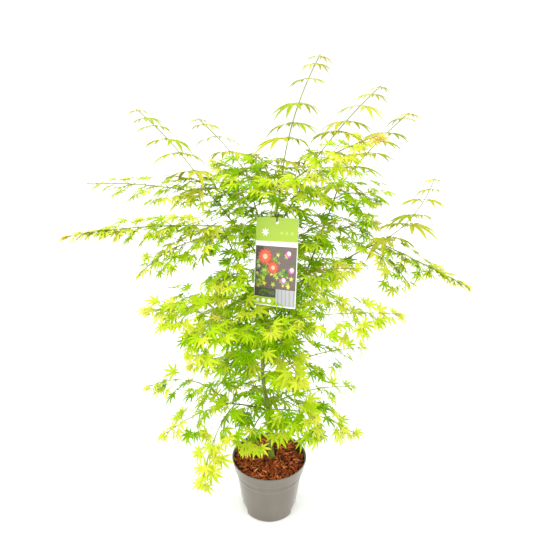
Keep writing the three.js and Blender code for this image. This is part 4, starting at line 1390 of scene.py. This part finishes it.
class MakeFoliage(bpy.types.Operator):
    """Grows every mass of foliage on from its limb: stems, side twigs, leaf stalks and leaves"""

    bl_idname = "maple.make_foliage"
    bl_label = "Foliage"

    def execute(self, context):
        sizes = context.scene.maple_foliage
        label = context.scene.maple_label
        limbs = limb_paths()
        sprays = []
        for index, row in enumerate(MASSES):
            spray = Spray(FIRST_SEED + SEED_STEP * (index + 1), sizes)
            spray.grow_mass(row, limbs)
            sprays.append(spray)
        spaces = Spaces(sprays)
        trunk = np.array(limbs["trunk"][0])
        for number, spray in enumerate(sprays):
            margin = SHOOT_SPACE_MARGIN if spray.is_shoot else OTHER_SPACE_MARGIN
            self.thin_out(spray, partial(spaces.holds, number, margin), trunk, label)
        for index, path in enumerate(inner_limbs(limbs)):
            spray = Spray(FIRST_SEED - SEED_STEP * (index + 1), sizes)
            spray.grow_along(path)
            self.thin_out(spray, spaces.reach, trunk, label)
            sprays.append(spray)
        self.make_twigs(sprays, sizes)
        self.make_leaves(sprays, sizes)
        return {"FINISHED"}

    def thin_out(self, spray, in_space, trunk, label):
        """Drops twigs and leaves that leave their space, hide the label or touch a limb or pot."""
        for twig, path in enumerate(spray.twigs):
            tip = path[-1]
            is_seen = not hides_label(tip, label, TWIG_LABEL_CLEARANCE)
            if in_space(tip) and is_seen and clear_of_pot(tip):
                spray.kept_twigs.append(twig)
        spray.leaves = [
            leaf for leaf in spray.leaves
            if (leaf.twig is None or leaf.twig in spray.kept_twigs)
            and self.has_room(leaf, in_space, trunk, label)
        ]

    def has_room(self, leaf, in_space, trunk, label):
        """True if a leaf is in its space, off the trunk and pot, and out of the viewer's way."""
        middle = leaf.middle()
        corners = leaf.corners()
        return (
            in_space(middle)
            and not any(hides_label(corner, label, -LEAF_LABEL_OVERLAP) for corner in corners)
            and all(clear_of_pot(corner) for corner in corners)
            and distance_to(trunk, middle) >= TRUNK_CLEARANCE
            and not hides_trunk(middle, trunk)
        )

    def make_twigs(self, sprays, sizes):
        green = plain_material("stem_green", sizes.stem, 0.5, 0.4)
        half = plain_material("stem_olive", mixed(sizes.stem, sizes.red_stem, 0.5), 0.5, 0.4)
        red = plain_material("stem_red", sizes.red_stem, 0.5, 0.4)
        stems = Shape()
        stalks = Shape()
        for spray in sprays:
            tone = 0
            if not spray.is_narrow and not spray.is_shoot:
                is_red = spray.random() < RED_TWIG_CHANCE
                tone = 2 if is_red else 1 if spray.random() < OLIVE_TWIG_CHANCE else 0
            if spray.draws_stem:
                radius = thinning(spray.foot_radius, STEM_TIP_RADIUS, spray.stem)
                stems.add(*tube(spray.stem, STEM_SIDES, radius), tone)
            for twig in spray.kept_twigs:
                path = spray.twigs[twig]
                stems.add(*tube(path, TWIG_SIDES, thinning(*TWIG_RADII, path)), tone)
            for leaf in spray.leaves:
                path = leaf.stalk_path()
                hue = 1 if leaf.share > RED_STALK_ZONE else 0
                radius = thinning(STALK_RADIUS, STALK_RADIUS, path)
                stalks.add(*tube(path, STALK_SIDES, radius), hue)
        piece = stems.make("twigs", [green, half, red])
        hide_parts(*[f"foliage_{row[0]}" for row in MASSES])
        piece = stalks.make("leaf_stalks", [green, red])

    def tint_of(self, spray, leaf):
        """The name of a leaf's tint."""
        is_tip = leaf.share > GOLD_SHARE and leaf.root.z > GOLD_HEIGHT
        if is_tip and leaf.chance < GOLD_CHANCE and spray.yellow > GOLD_YELLOW:
            return "gold"
        if spray.is_shoot:
            return "olive" if leaf.chance < SHOOT_OLIVE_SHARE else "leek"
        late = clamp((leaf.share - TIP_TINT_ZONE) / (1 - TIP_TINT_ZONE), 0, 1)
        # Leaves near the crown's middle get darker tints: the older leaves' deeper green, and painted
        # shade of the inner crown
        inside = 1 - clamp(math.hypot(leaf.root.x, leaf.root.y) / INNER_RADIUS, 0, 1)
        tone = spray.yellow + TIP_YELLOWING * late * late - INNER_AGE_AND_SHADE_DARKENING * inside
        tone += TINT_SPREAD * (leaf.chance - 0.5)
        names = ("deep", "green", "lime", "fresh", "yellow")
        return names[int(clamp((tone - FIRST_TINT_EDGE) / TINT_STEP, 0, len(names) - 1))]

    def make_leaves(self, sprays, sizes):
        random = seeded_numbers(TINT_SEED)
        kinds = [leaf_kind(random, LEAF_DROOPS) for _ in range(LEAF_KINDS)]
        level_kinds = [
            leaf_kind(random, SHOOT_LEAF_DROOPS, SHOOT_LEAF_WIDTH) for _ in range(LEAF_KINDS)
        ]
        veins = {
            "deep": sizes.green,
            "green": sizes.lime,
            "lime": sizes.fresh,
            "fresh": sizes.yellow,
            "yellow": paint(222, 222, 104),
            "gold": paint(208, 180, 88),
            "olive": sizes.gold,
            "leek": sizes.olive,
        }
        leaves = {name: [] for name in veins}
        for spray in sprays:
            for leaf in spray.leaves:
                leaves[self.tint_of(spray, leaf)].append(leaf)
        for name, vein in veins.items():
            joined = Shape()
            for leaf in leaves[name]:
                family = level_kinds if leaf.is_level else kinds
                shape, faces, slots = family[int(leaf.chance * KIND_SCATTER) % LEAF_KINDS]
                turn, blade_root = leaf.frame()
                placed = shape * leaf.reach @ np.array(turn).T + np.array(blade_root)
                first = len(joined.points)
                joined.points += placed.tolist()
                joined.faces += (np.array(faces) + first).tolist()
                joined.slots += slots
            blade = plain_material(f"leaf_{name}", getattr(sizes, name), 0.6, 0.03)
            rib = plain_material(f"leaf_{name}_vein", vein, 0.6, 0.03)
            piece = joined.make(f"leaves_{name}", [blade, rib], smooth=False)


# Label: its picture is laid as thin layers of ink over each other, with places as shares of the
# card's width and height from its middle

PRINT_STEP = 0.09 * MM
PRINT_SEED = 733
PRINT_HOLE_SHARE = 1.15
PRINT_HOLE_STEPS = 8
SPOT_CORNERS = 20
CORNER_STEPS = 6
LEAFLET_COUNT = 90
LEAFLET_TINTS = ("leaf_dark", "leaf", "leaf", "leaf_pale", "leaf_gold")
LEAFLET_SCATTER = 4.99
PICTURE_HALF_WIDTH = 0.48


def card_point(across, up, forwards):
    return LABEL_CENTRE + LABEL_TURN @ Vector((across, -forwards, up))


def arc(centre, radius, first, last, steps):
    """Points of an arc as pairs of across and up."""
    turns = [math.radians(lerp(first, last, k / steps)) for k in range(steps + 1)]
    return [(centre[0] + radius * math.cos(t), centre[1] + radius * math.sin(t)) for t in turns]


def circle(radius, corners):
    """Points of a whole circle about the middle."""
    return arc((0, 0), radius, 0, 360 - 360 / corners, corners - 1)


def rounded_box(width, height, corner):
    """The outline of a card with round corners, anticlockwise from its right edge."""
    x = width / 2 - corner
    y = height / 2 - corner
    outline = []
    for quarter, centre in enumerate(((x, y), (-x, y), (-x, -y), (x, -y))):
        outline += arc(centre, corner, 90 * quarter, 90 * quarter + 90, CORNER_STEPS)
    return outline


class MakeLabel(bpy.types.Operator):
    """Makes the card with its hole and a plain picture of leaves, blossom and buds on its front"""

    bl_idname = "maple.make_label"
    bl_label = "Label"

    def execute(self, context):
        sizes = context.scene.maple_label
        self.make_card(sizes)
        self.make_print(sizes)
        return {"FINISHED"}

    def make_card(self, sizes):
        outline = rounded_box(sizes.width, sizes.height, sizes.corner)
        hole_height = sizes.height / 2 - LABEL_HOLE_DROP
        count = len(outline)
        hole = [(x, y + hole_height) for x, y in circle(LABEL_HOLE_RADIUS, count)]
        start = min(
            range(count), key=lambda k: abs(math.atan2(outline[k][1] - hole_height, outline[k][0])))
        outline = outline[start:] + outline[:start]
        half = LABEL_THICKNESS / 2
        loops = [(outline, half), (hole, half), (hole, -half), (outline, -half)]
        points = [card_point(x, y, forwards) for loop, forwards in loops for x, y in loop]
        card = Shape()
        card.add(points, faces_between(len(loops), count, closed=True))
        ramp = (0.4, dimmed(sizes.card, 0.93), 0.6, sizes.card)
        material = grainy_material("label_card", 0.35, 900, 3, ramp)
        piece = card.make("label_sheet", [material], smooth=False)
        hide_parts("plant_label")

    def make_print(self, sizes):
        colours = {
            "lime": sizes.lime,
            "white": paint(248, 248, 246),
            "soil": paint(104, 88, 82),
            "shade": paint(62, 54, 50),
            "leaf_dark": paint(84, 126, 34),
            "leaf": paint(128, 168, 44),
            "leaf_pale": paint(182, 204, 70),
            "leaf_gold": paint(222, 214, 92),
            "orange": paint(232, 92, 56),
            "orange_dark": paint(196, 62, 44),
            "peach": paint(240, 188, 158),
            "pink": paint(224, 96, 170),
            "pale_pink": paint(244, 214, 232),
            "lilac": paint(178, 175, 186),
        }
        names = list(colours)
        materials = [plain_material(f"print_{n}", colours[n], 0.32) for n in names]
        picture = Shape()
        width = sizes.width
        height = sizes.height
        random = seeded_numbers(PRINT_SEED)

        def lay(outline, colour, layer):
            forwards = LABEL_THICKNESS / 2 + layer * PRINT_STEP
            points = [card_point(x * width, y * height, forwards) for x, y in outline]
            picture.add(points, [tuple(range(len(points)))], names.index(colour))

        def box(left, right, foot, top, colour, layer):
            lay([(left, foot), (right, foot), (right, top), (left, top)], colour, layer)

        def round_spot(x, y, radius, colour, layer):
            lay([(x + a, y + b * width / height) for a, b in circle(radius, SPOT_CORNERS)], colour, layer)

        def star(x, y, radius, points, inner, turn, colour, layer):
            outline = []
            for k in range(2 * points):
                reach = radius if k % 2 == 0 else radius * inner
                a, b = on_circle(reach, math.radians(turn + 180 * k / points))
                outline.append((x + a, y + b * width / height))
            lay(outline, colour, layer)

        hole_height = 0.5 - LABEL_HOLE_DROP / height
        hole = arc((0, 0), PRINT_HOLE_SHARE * LABEL_HOLE_RADIUS, 90, -90, PRINT_HOLE_STEPS)
        band = [(0, 0.235), (0.498, 0.235), (0.498, 0.488), (0.48, 0.498), (0, 0.498)]
        band += [(x / width, hole_height + y / height) for x, y in hole]
        for hand in (-1, 1):
            lay([(hand * x, y) for x, y in band[::hand]], "lime", 1)
        star(-0.27, 0.335, 0.10, 7, 0.42, 90, "white", 2)
        for k in range(3):
            round_spot(0.12 + 0.12 * k, 0.33, 0.035, "leaf_pale", 2)
        box(-0.5, 0.5, 0.185, 0.225, "white", 1)
        box(-0.485, 0.485, -0.30, 0.18, "soil", 1)
        box(-0.485, -0.30, -0.12, 0.18, "shade", 2)
        for k in range(LEAFLET_COUNT):
            x = lerp(-0.44, 0.44, random())
            y = lerp(-0.27, 0.12, random() ** 1.2)
            tint = LEAFLET_TINTS[int(random() * LEAFLET_SCATTER)]
            reach = min(lerp(0.035, 0.075, random()), PICTURE_HALF_WIDTH - abs(x))
            star(x, y, reach, 5, 0.4, 360 * random(), tint, 3 + k % 3)
        for x, y, reach in ((-0.25, 0.06, 0.19), (-0.05, -0.06, 0.15)):
            star(x, y, reach, 12, 0.72, 8, "orange_dark", 6)
            star(x, y, 0.82 * reach, 11, 0.68, 20, "orange", 7)
            round_spot(x, y, 0.3 * reach, "peach", 8)
        for x, y in ((0.30, 0.10), (0.20, -0.20), (0.38, -0.08)):
            round_spot(x, y, 0.065, "pink", 6)
            round_spot(x + 0.012, y + 0.008, 0.045, "pale_pink", 7)
        box(0.03, 0.485, -0.485, -0.30, "lilac", 2)
        for k in range(5):
            x = 0.08 + 0.09 * k
            lean = 0.03 * (random() * 2 - 1)
            stalk = [(x, -0.485), (x + 0.018, -0.485), (x + 0.018 + lean, -0.30), (x + lean, -0.30)]
            lay(stalk, "leaf", 3)
        box(-0.485, 0.03, -0.485, -0.40, "lime", 2)
        box(-0.485, 0.03, -0.40, -0.30, "shade", 2)
        for k in range(14):
            x = lerp(-0.42, -0.03, random())
            star(x, lerp(-0.37, -0.32, random()), 0.045, 5, 0.4, 360 * random(), "leaf_dark", 3)
        for k in range(3):
            round_spot(-0.40 + 0.14 * k, -0.442, 0.042, "white", 4)
        piece = picture.make("label_print", materials, smooth=False)


# Loop: millimetres, and its bearings round the trunk in degrees

LOOP_RADIUS = 0.9
LOOP_TRUNK_HEIGHT = 794
LOOP_SLACK = 0.65
LOOP_BEARINGS = (-15, 38, 90, 142, 195)
LOOP_FALL = 1.2
LOOP_POINTS = 140
LOOP_SIDES = 12
SEAT_GAP = 0.3


class MakeLabelLoop(bpy.types.Operator):
    """Ties the card to the trunk: through the hole, over its top edge and round the trunk"""

    bl_idname = "maple.make_label_loop"
    bl_label = "Label loop"

    def execute(self, context):
        sizes = context.scene.maple_label
        trunk = limb_paths()["trunk"][0]
        middle = at_height(trunk, LOOP_TRUNK_HEIGHT * MM)
        around = trunk_radius(LOOP_TRUNK_HEIGHT * MM) + (LOOP_RADIUS + SEAT_GAP + LOOP_SLACK) * MM
        hole_top = sizes.height / 2 - LABEL_HOLE_DROP + LABEL_HOLE_RADIUS
        seat = hole_top - (LOOP_RADIUS + 3 * SEAT_GAP) * MM
        clear = LABEL_THICKNESS / 2 + (LOOP_RADIUS + SEAT_GAP) * MM
        over_top = sizes.height / 2 + (LOOP_RADIUS + 2 * SEAT_GAP) * MM
        behind = []
        for i, bearing in enumerate(LOOP_BEARINGS):
            x, y = on_circle(around, math.radians(bearing))
            behind.append(middle + Vector((x, y, -LOOP_FALL * i * MM)))
        route = [
            card_point(0, seat, 0),
            card_point(0, seat, clear),
            card_point(0, over_top - MM, clear),
            card_point(0.5 * MM, over_top, 0),
            *behind,
            card_point(-MM, seat - 0.5 * MM, -clear),
        ]
        path = curve_through(route, LOOP_POINTS, closed=True)
        shape = Shape()
        shape.add(*tube(path, LOOP_SIDES, thinning(LOOP_RADIUS * MM, LOOP_RADIUS * MM, path)))
        ramp = (0.4, dimmed(sizes.cord, 0.6), 0.6, sizes.cord)
        material = grainy_material("label_cord", 0.6, 1500, 2, ramp)
        piece = shape.make("label_tie", [material])
        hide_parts("label_loop")
        return {"FINISHED"}


# Stage: each lamp is a name, its place, what it looks at, its width and its share of the power

CAMERA_PITCH = 17.82
SENSOR_WIDTH = 36
FLOOR_DEPTH = 0.05 * MM
FLOOR_SIDES = 72
LAMPS = [
    ("softbox_top", (-0.5, -0.7, 2.7), (0, 0, 0.6), 2.2, 1.0),
    ("softbox_left", (-2.2, -1.0, 1.3), (0, 0, 0.4), 1.6, 0.5),
]


class MakeStage(bpy.types.Operator):
    """Lays a plain pale floor, lights it softly and sets the camera"""

    bl_idname = "maple.make_stage"
    bl_label = "Stage"

    def execute(self, context):
        sizes = context.scene.maple_stage
        self.make_floor(context, sizes)
        self.make_surround(context, sizes)
        self.make_lamps(context, sizes)
        self.make_camera(context, sizes)
        context.scene.view_settings.view_transform = "Standard"
        return {"FINISHED"}

    def make_floor(self, context, sizes):
        points = [(x, y, -FLOOR_DEPTH) for x, y in circle(sizes.floor_radius, FLOOR_SIDES)]
        mesh = bpy.data.meshes.new("floor")
        mesh.from_pydata(points, [], [tuple(range(len(points)))])
        mesh.materials.append(plain_material("floor_pale", sizes.floor, 0.9, 0.2))
        floor = bpy.data.objects.new("floor", mesh)
        context.scene.collection.objects.link(floor)

    def make_surround(self, context, sizes):
        """A white surround that is brighter at both sides of the plant."""
        world = bpy.data.worlds.new("surround")
        world.use_nodes = True
        tree = world.node_tree
        direction = tree.nodes.new("ShaderNodeTexCoord").outputs["Generated"]
        across = add_node(tree, "ShaderNodeSeparateXYZ", {"Vector": direction}).outputs["X"]
        squared = add_node(tree, "ShaderNodeMath", {0: across, 1: across})
        squared.operation = "MULTIPLY"
        inputs = {0: squared.outputs["Value"], 1: sizes.side_light, 2: sizes.surround}
        strength = add_node(tree, "ShaderNodeMath", inputs)
        strength.operation = "MULTIPLY_ADD"
        background = tree.nodes["Background"]
        background.inputs["Color"].default_value = (1, 1, 1, 1)
        tree.links.new(strength.outputs["Value"], background.inputs["Strength"])
        context.scene.world = world

    def make_lamps(self, context, sizes):
        for name, place, target, width, share in LAMPS:
            light = bpy.data.lights.new(name, "AREA")
            light.shape = "DISK"
            light.size = width
            light.energy = sizes.softbox * share
            lamp = bpy.data.objects.new(name, light)
            lamp.location = place
            aim = Vector(target) - Vector(place)
            lamp.rotation_euler = aim.to_track_quat("-Z", "Y").to_euler()
            context.scene.collection.objects.link(lamp)

    def make_camera(self, context, sizes):
        lens = bpy.data.cameras.new("camera")
        lens.lens = sizes.lens
        lens.sensor_width = SENSOR_WIDTH
        camera = bpy.data.objects.new("camera", lens)
        camera.location = VIEWER
        camera.rotation_euler = (math.radians(90 - CAMERA_PITCH), 0, 0)
        context.scene.collection.objects.link(camera)
        context.scene.camera = camera


# Add-on

SETTINGS = {
    "maple_pot": PotSettings,
    "maple_mulch": MulchSettings,
    "maple_bark": BarkSettings,
    "maple_foliage": FoliageSettings,
    "maple_label": LabelSettings,
    "maple_stage": StageSettings,
}
OPERATORS = (
    MakePot,
    MakeMulch,
    MakeTrunkAndBoughs,
    MakeFoliage,
    MakeLabel,
    MakeLabelLoop,
    MakeStage,
)


class MaplePanel(bpy.types.Panel):
    """The steps that dress the plant, in order"""

    bl_idname = "VIEW3D_PT_maple"
    bl_label = "Potted maple"
    bl_space_type = "VIEW_3D"
    bl_region_type = "UI"
    bl_category = "Maple"

    def draw(self, context):
        for name, group in SETTINGS.items():
            box = self.layout.box()
            box.label(text=group.__doc__)
            settings = getattr(context.scene, name)
            for key in group.__annotations__:
                box.prop(settings, key)
        for operator in OPERATORS:
            self.layout.operator(operator.bl_idname)


def register():
    for group in SETTINGS.values():
        bpy.utils.register_class(group)
    for name, group in SETTINGS.items():
        setattr(bpy.types.Scene, name, bpy.props.PointerProperty(type=group))
    for operator in OPERATORS:
        bpy.utils.register_class(operator)
    bpy.utils.register_class(MaplePanel)


def unregister():
    bpy.utils.unregister_class(MaplePanel)
    for operator in reversed(OPERATORS):
        bpy.utils.unregister_class(operator)
    for name in SETTINGS:
        delattr(bpy.types.Scene, name)
    for group in reversed(list(SETTINGS.values())):
        bpy.utils.unregister_class(group)


def main():
    register()
    bpy.ops.maple.make_pot()
    bpy.ops.maple.make_mulch()
    bpy.ops.maple.make_trunk_and_boughs()
    bpy.ops.maple.make_foliage()
    bpy.ops.maple.make_label()
    bpy.ops.maple.make_label_loop()
    bpy.ops.maple.make_stage()


if __name__ == "__main__":
    main()
